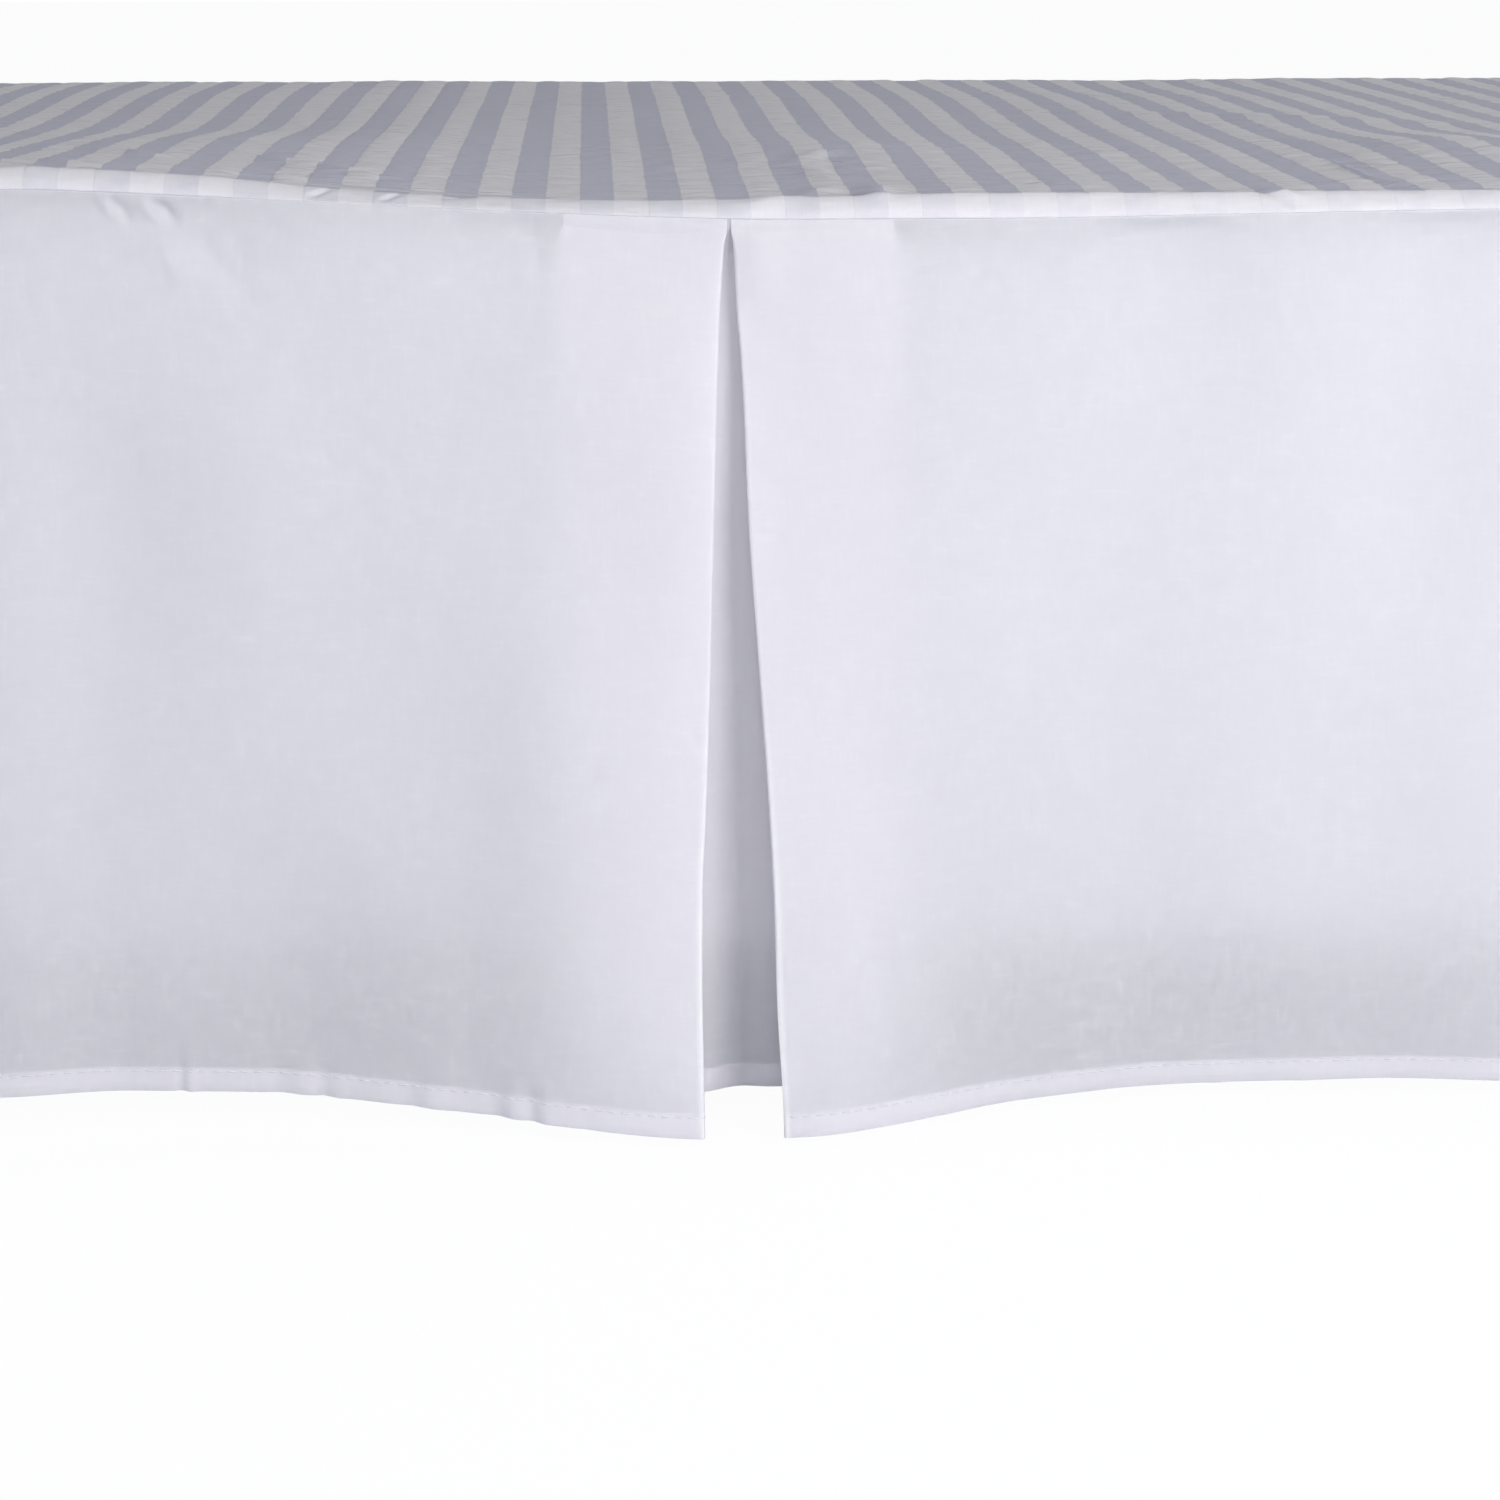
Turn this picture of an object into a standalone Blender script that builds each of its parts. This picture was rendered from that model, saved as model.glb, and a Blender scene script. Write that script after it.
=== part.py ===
"""A bed skirt on the plain base that it covers, in metres, +Z up.

The deck is a striped cloth that lies on the base and rolls over its edges. Four panels hang from
its seam: a front and a back one, each with one inverted box pleat, and two plain end ones. The
origin is on the floor, under the middle of the base. The front is at -Y.
"""

import math

import bmesh
import bpy

# Cut sizes of the skirt
SKIRT_LENGTH = 1.320
SKIRT_WIDTH = 0.710
DROP = 0.3556
HEM_HEIGHT = 0.0095
PLEAT_RETURN = 0.0635
CORNER_RADIUS = 0.018

# Thicknesses and clearances
CLOTH = 0.0012
HEM = 0.0018
LAYER_PITCH = 0.0024
TOUCH_GAP = 0.0003
BASE_INSET = 0.0080

# Heights above the floor, measured to the middle of the cloth
PLEAT_SEAM_HEIGHT = 0.370
DECK_HEIGHT = 0.380
BASE_BOTTOM = 0.072
PLAIN_SEAM_RISE = 0.001

# How the deck turns over the base's edge, and how far in a dip of its front edge reaches
ROLL_DEPTH = 0.009
BASE_EDGE_RADIUS = 0.012
BASE_LOW_EDGE_RADIUS = 0.003
DIP_REACH = 0.240
DECK_RINGS = (0.024, 0.060, 0.105, 0.165)
ROLL_STEPS = 4

# How the panels hang
FLARE_POWER = 1.15
UNDERLAY_POWER = 3.0
CORNER_DROOP = 0.009
DROOP_WIDTH = 0.100
CORNER_WRAP = math.radians(41.0)

# Feet
FOOT_TOP_RADIUS = 0.028
FOOT_FLOOR_RADIUS = 0.021
FOOT_INSET = 0.085
FOOT_SIDES = 20
FOOT_BEVEL = 0.002

# Steps of the meshes
FRONT_STEPS = 24
BACK_STEPS = 10
END_STEPS = 8
CORNER_STEPS = 3
FOLD_STEPS = 5
RETURN_STEPS = 4
UNDERLAY_STEPS = 6

# The front edge. x, rise of the seam over its height at the pleat, rise of the deck's crest
FRONT_EDGE = (
    (-0.642, PLAIN_SEAM_RISE, 0.0100),
    (-0.430, 0.0105, 0.0180),
    (-0.280, 0.0128, 0.0202),
    (-0.205, 0.0100, 0.0172),
    (-0.140, 0.0065, 0.0120),
    (-0.080, 0.0034, 0.0078),
    (-0.030, 0.0013, 0.0066),
    (0.020, 0.0000, 0.0070),
    (0.100, 0.0000, 0.0086),
    (0.200, 0.0013, 0.0094),
    (0.300, 0.0027, 0.0092),
    (0.430, 0.0040, 0.0105),
    (0.642, PLAIN_SEAM_RISE, 0.0100),
)

# How far each hem swings out. Place along the side, swing
FRONT_FLARE = (
    (-0.660, 0.020),
    (-0.520, 0.024),
    (-0.400, 0.040),
    (-0.290, 0.040),
    (-0.240, 0.028),
    (-0.190, 0.0245),
    (-0.110, 0.034),
    (-0.060, 0.0460),
    (0.030, 0.0460),
    (0.067, 0.0360),
    (0.093, 0.0262),
    (0.120, 0.0180),
    (0.180, 0.0100),
    (0.260, 0.0110),
    (0.320, 0.0200),
    (0.420, 0.0280),
    (0.530, 0.0140),
    (0.660, 0.0200),
)
BACK_FLARE = (
    (-0.660, 0.020),
    (-0.440, 0.028),
    (-0.220, 0.014),
    (-0.060, 0.043),
    (0.060, 0.043),
    (0.240, 0.012),
    (0.450, 0.024),
    (0.660, 0.020),
)
LEFT_FLARE = (
    (-0.355, 0.020),
    (-0.190, 0.012),
    (0.010, 0.024),
    (0.180, 0.014),
    (0.355, 0.020),
)
RIGHT_FLARE = (
    (-0.355, 0.020),
    (-0.150, 0.026),
    (0.060, 0.013),
    (0.210, 0.022),
    (0.355, 0.020),
)

# The pleat's mouth. Share of the drop, and how far the left and right folds stand from the middle
FRONT_MOUTH = (
    (0.00, 0.0018, 0.0018),
    (0.10, 0.0035, 0.0036),
    (0.20, 0.0054, 0.0056),
    (0.31, 0.0066, 0.0073),
    (0.49, 0.0091, 0.0116),
    (0.63, 0.0110, 0.0149),
    (0.74, 0.0129, 0.0168),
    (0.85, 0.0132, 0.0178),
    (1.00, 0.0127, 0.0203),
)
BACK_MOUTH = (
    (0.00, 0.0018, 0.0018),
    (0.50, 0.0070, 0.0065),
    (1.00, 0.0120, 0.0110),
)

# The underlay's hem. How far it swings out at the left inner fold and at the right one
FRONT_UNDERLAY = (0.0085, 0.0015)
BACK_UNDERLAY = (0.0040, 0.0040)

# Rows down a panel, as shares of the drop. Two rows close together make the hem's upper edge
HEM_SHARE = 1.0 - HEM_HEIGHT / DROP
HEM_STEP = 0.0015
FRONT_ROWS = (0.0, 0.10, 0.20, 0.31, 0.44, 0.58, 0.72, 0.85, HEM_SHARE - HEM_STEP, HEM_SHARE, 1.0)
PLAIN_ROWS = (0.0, 0.20, 0.42, 0.70, HEM_SHARE - HEM_STEP, HEM_SHARE, 1.0)

WHITE_CLOTH = (0.80, 0.80, 0.85)
STRIPED_CLOTH = (0.55, 0.56, 0.66)
BASE_COVER = (0.72, 0.72, 0.72)
FOOT_WOOD = (0.30, 0.20, 0.12)

HALF_LENGTH = SKIRT_LENGTH / 2
HALF_WIDTH = SKIRT_WIDTH / 2


def smooth(rows, place, column=1):
    """Read a column of a table on a smooth curve through its rows."""
    if place <= rows[0][0]:
        return rows[0][column]
    if place >= rows[-1][0]:
        return rows[-1][column]
    i = max(k for k in range(len(rows) - 1) if rows[k][0] <= place)
    spans = [rows[k + 1][0] - rows[k][0] for k in range(len(rows) - 1)]
    slopes = [(rows[k + 1][column] - rows[k][column]) / spans[k] for k in range(len(spans))]

    def tangent(k):
        if k in (0, len(rows) - 1) or slopes[k - 1] * slopes[k] <= 0:
            return 0.0
        return 2 * slopes[k - 1] * slopes[k] / (slopes[k - 1] + slopes[k])

    t = (place - rows[i][0]) / spans[i]
    start = rows[i][column] * (1 + 2 * t) * (1 - t) ** 2
    end = rows[i + 1][column] * (3 - 2 * t) * t * t
    bend = tangent(i) * (1 - t) ** 2 * t - tangent(i + 1) * (1 - t) * t * t
    return start + end + bend * spans[i]


def even_steps(half, steps):
    """Give evenly spaced places from -half to half."""
    return [half * (2 * k / steps - 1) for k in range(steps + 1)]


FRONT_STATIONS = even_steps(HALF_LENGTH - CORNER_RADIUS, FRONT_STEPS)


def at_stations(x, column):
    """Read the front edge's table straight between stations, as the deck and the panel share them."""
    x = min(max(x, FRONT_STATIONS[0]), FRONT_STATIONS[-1])
    i = max(k for k in range(FRONT_STEPS) if FRONT_STATIONS[k] <= x)
    low = smooth(FRONT_EDGE, FRONT_STATIONS[i], column)
    high = smooth(FRONT_EDGE, FRONT_STATIONS[i + 1], column)
    share = (x - FRONT_STATIONS[i]) / (FRONT_STATIONS[i + 1] - FRONT_STATIONS[i])
    return low + (high - low) * share


def seam_height(x, at_front):
    """Give the height of the seam between the deck and a panel."""
    rise = at_stations(x, 1) if at_front else PLAIN_SEAM_RISE
    return PLEAT_SEAM_HEIGHT + rise


def deck_dip(x, y):
    """Give how far the deck stands over its flat height, near its uneven front edge."""
    crest = PLEAT_SEAM_HEIGHT + at_stations(x, 2) - DECK_HEIGHT
    share = min(max((y + HALF_WIDTH) / DIP_REACH, 0.0), 1.0)
    return crest * (1 - share * share * (3 - 2 * share))


def outline(inset):
    """Give a rounded rectangle, inset from the seam's own, anticlockwise from the front left."""
    radius = max(CORNER_RADIUS - inset, 0.001)
    length = HALF_LENGTH - inset - radius
    width = HALF_WIDTH - inset - radius
    shrink = length / (HALF_LENGTH - CORNER_RADIUS)
    sides = (
        (0.0, [x * shrink for x in FRONT_STATIONS], length, width),
        (90.0, even_steps(width, END_STEPS), width, length),
        (180.0, even_steps(length, BACK_STEPS), length, width),
        (270.0, even_steps(width, END_STEPS), width, length),
    )
    points = []
    for turn, places, reach, out in sides:
        side = [(place, -out - radius) for place in places]
        for k in range(1, CORNER_STEPS):
            angle = math.radians(90 * k / CORNER_STEPS)
            side.append((reach + radius * math.sin(angle), -out - radius * math.cos(angle)))
        c = math.cos(math.radians(turn))
        s = math.sin(math.radians(turn))
        points.extend((c * x - s * y, s * x + c * y) for x, y in side)
    return points


def make_object(name, bm, material):
    """Turn a bmesh into an object in the part's collection."""
    mesh = bpy.data.meshes.new(name)
    bm.to_mesh(mesh)
    bm.free()
    mesh.materials.append(material)
    part = bpy.data.objects.new(name, mesh)
    collection.objects.link(part)
    mesh.shade_smooth()
    mesh.set_sharp_from_angle(angle=math.radians(40))
    return part


def make_material(name, colour, roughness):
    """Make a plain Principled material."""
    material = bpy.data.materials.new(name)
    material.use_nodes = True
    shader = material.node_tree.nodes["Principled BSDF"]
    shader.inputs["Base Color"].default_value = (*colour, 1.0)
    shader.inputs["Roughness"].default_value = roughness
    shader.inputs["Metallic"].default_value = 0.0
    return material


def loft_rings(rings, close_first):
    """Join closed rings of points, with a flat face on the last and, if asked, on the first."""
    bm = bmesh.new()
    loops = [[bm.verts.new(point) for point in ring] for ring in rings]
    count = len(rings[0])
    for lower, upper in zip(loops, loops[1:]):
        for k in range(count):
            n = (k + 1) % count
            bm.faces.new((lower[k], lower[n], upper[n], upper[k]))
    bm.faces.new(loops[-1])
    if close_first:
        bm.faces.new(reversed(loops[0]))
    return bm


def give_thickness(part, hem_verts):
    """Make a sheet as thick as the cloth, and thicker at its folded hem."""
    shell = part.modifiers.new("thickness", "SOLIDIFY")
    shell.thickness = HEM if hem_verts else CLOTH
    shell.offset = 0.0
    if hem_verts:
        group = part.vertex_groups.new(name="hem")
        group.add(hem_verts, 1.0, "REPLACE")
        shell.vertex_group = group.name
        shell.thickness_vertex_group = CLOTH / HEM


def make_deck(material):
    """Make the striped cloth on top, rolled over the base's edges down to the seam."""
    profile = [(0.0, 0.0)]
    for k in range(1, ROLL_STEPS + 1):
        angle = math.radians(90 * k / ROLL_STEPS)
        profile.append((ROLL_DEPTH * (1 - math.cos(angle)), math.sin(angle)))
    profile.extend((inset, 1.0) for inset in DECK_RINGS)
    profile.append((DIP_REACH, 1.0))
    rings = []
    for inset, share in profile:
        ring = []
        for x, y in outline(inset):
            at_front = y < -HALF_WIDTH + inset + CORNER_RADIUS
            low = seam_height(x, at_front) + TOUCH_GAP / 2
            high = DECK_HEIGHT + deck_dip(x, y)
            ring.append((x, y, low + (high - low) * share))
        rings.append(ring)
    deck = make_object("deck", loft_rings(rings, False), material)
    give_thickness(deck, [])


def make_base(material):
    """Make the plain base, a little inside the panels, with rounded upper edges."""
    top = DECK_HEIGHT - CLOTH / 2 - TOUCH_GAP
    low = BASE_LOW_EDGE_RADIUS
    profile = [(BASE_INSET + low, BASE_BOTTOM, 0.0), (BASE_INSET, BASE_BOTTOM + low, 0.0)]
    for k in range(ROLL_STEPS + 1):
        angle = math.radians(90 * k / ROLL_STEPS)
        inset = BASE_INSET + BASE_EDGE_RADIUS * (1 - math.cos(angle))
        profile.append((inset, top - BASE_EDGE_RADIUS * (1 - math.sin(angle)), 1.0))
    profile.extend((inset, top, 1.0) for inset in DECK_RINGS[1:])
    profile.append((DIP_REACH, top, 1.0))
    rings = []
    for inset, height, share in profile:
        rings.append([(x, y, height + share * deck_dip(x, y)) for x, y in outline(inset)])
    make_object("base", loft_rings(rings, True), material)


def side_place(along, half, out):
    """Place a point on one side of the seam's outline, moved out along its normal."""
    straight = half - CORNER_RADIUS
    past = max(abs(along) - straight, 0.0)
    angle = math.copysign(past / CORNER_RADIUS, along)
    reach = math.copysign(min(abs(along), straight), along)
    x = reach + (CORNER_RADIUS + out) * math.sin(angle)
    y = CORNER_RADIUS - (CORNER_RADIUS + out) * math.cos(angle)
    return x, y


def plain_columns(half, stations):
    """Give the places along a side, with its ends wrapped part of the way round the corners."""
    wrap = [CORNER_RADIUS * CORNER_WRAP * k / CORNER_STEPS for k in range(1, CORNER_STEPS + 1)]
    straight = half - CORNER_RADIUS
    before = [-straight - w for w in reversed(wrap)]
    return before + list(stations) + [straight + w for w in wrap]


def half_pleat(mouth, corner_out, underlay_out):
    """Trace half a pleat as (distance from the middle, out), from the face's fold to the middle."""
    r = LAYER_PITCH / 2
    fold = (mouth + r, -corner_out + r)
    inner = (PLEAT_RETURN + 2 * r, -underlay_out - r)
    run = inner[0] - fold[0]
    back = inner[1] - fold[1]
    slant = math.atan2(back, run) - math.asin(2 * r / math.hypot(run, back))
    points = []
    for k in range(FOLD_STEPS + 1):
        angle = math.radians(270) + (slant - math.pi) * k / FOLD_STEPS
        points.append((fold[0] + r * math.cos(angle), fold[1] + r * math.sin(angle), 1.0))
    leave = points[-1]
    arrive = (inner[0] + r * math.sin(slant), inner[1] - r * math.cos(slant))
    for k in range(1, RETURN_STEPS):
        share = k / RETURN_STEPS
        place = leave[0] + (arrive[0] - leave[0]) * share
        points.append((place, leave[1] + (arrive[1] - leave[1]) * share, 1.0 - share))
    for k in range(FOLD_STEPS + 1):
        angle = slant - math.radians(90) + (math.pi - slant) * k / FOLD_STEPS
        points.append((inner[0] + r * math.cos(angle), inner[1] + r * math.sin(angle), 0.0))
    return [(place, -depth, droop) for place, depth, droop in points]


def pleat_columns(share, mouth, flare, underlay):
    """Trace the whole pleat at one height, left to right, as (along, out, share of the droop)."""
    swing = share**FLARE_POWER
    rest = -2 * LAYER_PITCH
    halves = []
    for side, sign in ((1, -1), (2, 1)):
        stand = smooth(mouth, share, side)
        hem = smooth(flare, sign * stand)
        under = rest + (underlay[side - 1] - rest) * share**UNDERLAY_POWER
        trace = half_pleat(stand, hem * swing, under)
        halves.append([(sign * place, out, droop) for place, out, droop in trace])
    left, right = halves
    right.reverse()
    start = left[-1]
    end = right[0]
    middle = []
    for k in range(1, UNDERLAY_STEPS):
        part = k / UNDERLAY_STEPS
        out = start[1] + (end[1] - start[1]) * part
        middle.append((start[0] + (end[0] - start[0]) * part, out, 0.0))
    return left + middle + right


def make_panel(name, material, rows, turn, half, offset, flare, stations, pleat=None):
    """Make a panel that hangs from the seam, with or without an inverted pleat in its middle."""
    at_front = turn == 0.0
    c = math.cos(math.radians(turn))
    s = math.sin(math.radians(turn))
    places = plain_columns(half, stations)
    bm = bmesh.new()
    grid = []
    for share in rows:
        swing = share**FLARE_POWER
        columns = [(place, smooth(flare, place) * swing, 1.0) for place in places]
        if pleat:
            folds = pleat_columns(share, pleat[0], flare, pleat[1])
            left = [column for column in columns if column[0] < -LAYER_PITCH]
            right = [column for column in columns if column[0] > LAYER_PITCH]
            columns = left + folds + right
        line = []
        for along, out, droop in columns:
            x, y = side_place(along, half, out)
            hem = smooth(flare, along) if droop > 0 else 0.0
            fall = math.sqrt(DROP**2 - hem**2)
            if pleat:
                fall += CORNER_DROOP * droop * math.exp(-((along / DROOP_WIDTH) ** 2))
            z = seam_height(along, at_front) - TOUCH_GAP / 2 - share * fall
            y -= offset
            line.append(bm.verts.new((c * x - s * y, s * x + c * y, z)))
        grid.append(line)
    for upper, lower in zip(grid, grid[1:]):
        for k in range(len(upper) - 1):
            bm.faces.new((lower[k], lower[k + 1], upper[k + 1], upper[k]))
    bm.verts.index_update()
    hem_rows = [row for row, share in enumerate(rows) if share >= HEM_SHARE]
    hem_verts = [vert.index for row in hem_rows for vert in grid[row]]
    give_thickness(make_object(name, bm, material), hem_verts)


def make_foot(name, x, y, material):
    """Make a round foot, a little wider at its top."""
    height = BASE_BOTTOM - TOUCH_GAP
    bpy.ops.mesh.primitive_cone_add(
        vertices=FOOT_SIDES,
        radius1=FOOT_FLOOR_RADIUS,
        radius2=FOOT_TOP_RADIUS,
        depth=height,
        location=(x, y, height / 2),
    )
    foot = bpy.context.object
    foot.name = name
    foot.data.name = name
    foot.data.materials.append(material)
    foot.data.shade_smooth()
    foot.data.set_sharp_from_angle(angle=math.radians(30))
    edge = foot.modifiers.new("rounded edge", "BEVEL")
    edge.width = FOOT_BEVEL
    edge.segments = 1
    for owner in list(foot.users_collection):
        owner.objects.unlink(foot)
    collection.objects.link(foot)


def build():
    """Make every piece."""
    white = make_material("skirt_cloth", WHITE_CLOTH, 0.85)
    striped = make_material("deck_cloth", STRIPED_CLOTH, 0.85)
    cover = make_material("base_cover", BASE_COVER, 0.9)
    wood = make_material("foot_wood", FOOT_WOOD, 0.5)
    make_deck(striped)
    make_base(cover)
    front_pleat = (FRONT_MOUTH, FRONT_UNDERLAY)
    back_pleat = (BACK_MOUTH, BACK_UNDERLAY)
    back_stations = even_steps(HALF_LENGTH - CORNER_RADIUS, BACK_STEPS)
    end_stations = even_steps(HALF_WIDTH - CORNER_RADIUS, END_STEPS)
    long_side = (HALF_LENGTH, HALF_WIDTH)
    short_side = (HALF_WIDTH, HALF_LENGTH)
    make_panel(
        "front_panel", white, FRONT_ROWS, 0.0, *long_side, FRONT_FLARE, FRONT_STATIONS, front_pleat
    )
    make_panel(
        "back_panel", white, PLAIN_ROWS, 180.0, *long_side, BACK_FLARE, back_stations, back_pleat
    )
    make_panel("right_end_panel", white, PLAIN_ROWS, 90.0, *short_side, RIGHT_FLARE, end_stations)
    make_panel("left_end_panel", white, PLAIN_ROWS, 270.0, *short_side, LEFT_FLARE, end_stations)
    for depth_name, y_sign in (("front", -1), ("back", 1)):
        for side_name, x_sign in (("left", -1), ("right", 1)):
            x = x_sign * (HALF_LENGTH - FOOT_INSET)
            y = y_sign * (HALF_WIDTH - FOOT_INSET)
            make_foot(f"foot_{depth_name}_{side_name}", x, y, wood)


for old in list(bpy.data.objects):
    bpy.data.objects.remove(old, do_unlink=True)
collection = bpy.data.collections.new("bed_skirt")
bpy.context.scene.collection.children.link(collection)
build()
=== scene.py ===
"""Bed skirt: sheer white panels with inverted box pleats under a striped, puckered deck cloth."""

from dataclasses import dataclass
import math

import bpy
import numpy as np
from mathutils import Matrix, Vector


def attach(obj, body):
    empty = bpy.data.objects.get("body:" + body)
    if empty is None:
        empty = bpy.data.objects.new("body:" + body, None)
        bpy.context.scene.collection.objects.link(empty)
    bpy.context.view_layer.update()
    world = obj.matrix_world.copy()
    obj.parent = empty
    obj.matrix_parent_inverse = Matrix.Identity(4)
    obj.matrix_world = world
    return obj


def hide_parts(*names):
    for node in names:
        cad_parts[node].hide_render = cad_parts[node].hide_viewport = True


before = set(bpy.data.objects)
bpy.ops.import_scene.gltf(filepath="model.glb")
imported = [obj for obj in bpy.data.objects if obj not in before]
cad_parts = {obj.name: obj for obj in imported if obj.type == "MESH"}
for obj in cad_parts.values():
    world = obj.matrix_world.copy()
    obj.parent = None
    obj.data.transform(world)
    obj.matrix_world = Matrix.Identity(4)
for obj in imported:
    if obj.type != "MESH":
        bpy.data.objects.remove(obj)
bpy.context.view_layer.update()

bl_info = {
    "name": "Bed skirt",
    "version": (1, 0, 0),
    "blender": (4, 5, 0),
    "location": "View3D > Sidebar > Bed skirt",
    "description": "Builds a tailored bed skirt, its striped deck and the base that it covers",
    "category": "Object",
}

# The frame's own sizes in metres, and the powers of its curves
SEAM_HEIGHT = 0.370
DECK_HEIGHT = 0.380
PLAIN_SEAM_RISE = 0.001
HALF_LENGTH = 0.660
HALF_WIDTH = 0.355
CORNER_RADIUS = 0.018
ROLL_DEPTH = 0.009
ROLL_SQUASH = 1.5
DIP_REACH = 0.240
FLARE_POWER = 1.15
UNDERLAY_POWER = 3.0
CORNER_DROOP = 0.009
DROOP_WIDTH = 0.100
CORNER_WRAP = math.radians(41.0)
UNDERLAY_DEPTH = 0.0044

# The edges of both cloths at the seam, and how near it they lie plain, in metres
SEAM_TUCK = 0.0010
SEAM_ALLOWANCE = 0.0016
SEAM_CALM = 0.004
TUCK_CALM = 0.006

# The dip behind the deck's crest, and the lowest dip that the base allows, in metres
CREST_DIP_PLACE = 0.011
CREST_DIP_WIDTH = 0.006
LOWEST_DIP = -0.0014

# The painted highlight along a pressed fold, the underlay's part without stitches, and the hem, in
# metres
FOLD_HIGHLIGHT_WIDTH = 0.0026
FOLD_HIGHLIGHT_FADE = 0.0007
UNDERLAY_EDGE = 0.016
HEM_RIPPLE_REACH = 0.012
STITCH_MARGIN = 0.003

# Stripe pitches from beyond the deck's left edge to the first, so that each counts from 0
STRIPES_BEFORE = 40

# Mesh steps in metres, and how many steps the hem, a fold, a return and the underlay have
DECK_STEP = 0.0040
DECK_ROW_STEP = 0.0046
PANEL_STEP = 0.0034
ROW_STEP = 0.0044
HEM_ROWS = 6
FOLD_STEPS = 8
RETURN_STEPS = 18
UNDERLAY_STEPS = 53

# Where the meshes are finer. From, to, step
DECK_FINE = ((-0.18, -0.118, 0.0012), (0.185, 0.285, 0.0018))
DECK_ROWS_FINE = ((-0.355, -0.15, 0.0026),)
PANEL_FINE = (
    (-0.262, -0.175, 0.0013),
    (-0.12, -0.06, 0.002),
    (-0.006, 0.0, 0.0009),
    (0.0, 0.006, 0.0009),
)
PANEL_ROWS_FINE = ((0.0, 0.045, 0.0016),)

# The front edge. x, rise of the seam over its height at the pleat, rise of the deck's crest
FRONT_EDGE = (
    (-0.642, PLAIN_SEAM_RISE, 0.01),
    (-0.43, 0.0105, 0.018),
    (-0.28, 0.0128, 0.0202),
    (-0.205, 0.01, 0.0172),
    (-0.14, 0.0065, 0.012),
    (-0.08, 0.0034, 0.0078),
    (-0.03, 0.0013, 0.0066),
    (0.02, 0.0, 0.007),
    (0.1, 0.0, 0.0086),
    (0.2, 0.0013, 0.0094),
    (0.3, 0.0027, 0.0092),
    (0.43, 0.004, 0.0105),
    (0.642, PLAIN_SEAM_RISE, 0.01),
)

# How far each hem swings out. Place along the side, swing
FRONT_FLARE = (
    (-0.66, 0.02),
    (-0.52, 0.024),
    (-0.4, 0.04),
    (-0.29, 0.04),
    (-0.24, 0.028),
    (-0.19, 0.0245),
    (-0.11, 0.034),
    (-0.06, 0.046),
    (0.03, 0.046),
    (0.067, 0.036),
    (0.093, 0.0262),
    (0.12, 0.018),
    (0.18, 0.01),
    (0.26, 0.011),
    (0.32, 0.02),
    (0.42, 0.028),
    (0.53, 0.014),
    (0.66, 0.02),
)
BACK_FLARE = (
    (-0.66, 0.02),
    (-0.44, 0.028),
    (-0.22, 0.014),
    (-0.06, 0.043),
    (0.06, 0.043),
    (0.24, 0.012),
    (0.45, 0.024),
    (0.66, 0.02),
)
LEFT_FLARE = (
    (-0.355, 0.02),
    (-0.19, 0.012),
    (0.01, 0.024),
    (0.18, 0.014),
    (0.355, 0.02),
)
RIGHT_FLARE = (
    (-0.355, 0.02),
    (-0.15, 0.026),
    (0.06, 0.013),
    (0.21, 0.022),
    (0.355, 0.02),
)

# The pleat's mouth. Share of the drop, and how far the left and right folds stand from the middle
FRONT_MOUTH = (
    (0.0, 0.0008, 0.0007),
    (0.013, 0.0009, 0.0008),
    (0.024, 0.0018, 0.0016),
    (0.057, 0.0027, 0.0022),
    (0.1, 0.0037, 0.0029),
    (0.14, 0.0044, 0.0042),
    (0.216, 0.0053, 0.0056),
    (0.31, 0.0064, 0.0068),
    (0.49, 0.0085, 0.011),
    (0.63, 0.0104, 0.0143),
    (0.74, 0.0123, 0.0162),
    (0.85, 0.0126, 0.0172),
    (1.0, 0.0121, 0.0197),
)
BACK_MOUTH = (
    (0.0, 0.0012, 0.0012),
    (0.5, 0.007, 0.0065),
    (1.0, 0.012, 0.011),
)
FRONT_UNDERLAY = (0.0085, 0.0015)
BACK_UNDERLAY = (0.004, 0.004)

# Soft bends of the underlay. Place along it, half width, rise
UNDERLAY_BENDS = ((0.004, 0.009, -0.003), (-0.014, 0.01, 0.0036))

# A stitch, ring by ring. Place along it, and its width and depth in thread radii
STITCH_RINGS = (
    (0.0, 0.35, 0.9),
    (0.1, 0.9, 0.25),
    (0.5, 1.0, 0.0),
    (0.9, 0.9, 0.25),
    (1.0, 0.35, 0.9),
)

# Soft creases of the front panel. Start and end as (x, drop), half width, rise
FRONT_CREASES = (
    (-0.237, 0.002, -0.229, 0.01, 0.0022, -0.002),
    (-0.2412, 0.001, -0.2334, 0.01, 0.0022, 0.0014),
    (-0.2212, 0.001, -0.2118, 0.01, 0.0024, -0.0028),
    (-0.2268, 0.001, -0.2174, 0.01, 0.0022, 0.0015),
    (-0.22, 0.014, -0.208, 0.036, 0.005, 0.001),
    (-0.206, 0.014, -0.19, 0.034, 0.005, -0.001),
    (-0.19, 0.012, -0.186, 0.04, 0.005, -0.0009),
    (-0.076, 0.004, -0.073, 0.026, 0.004, -0.0009),
    (0.25, 0.003, 0.252, 0.008, 0.001, -0.0004),
)

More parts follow.
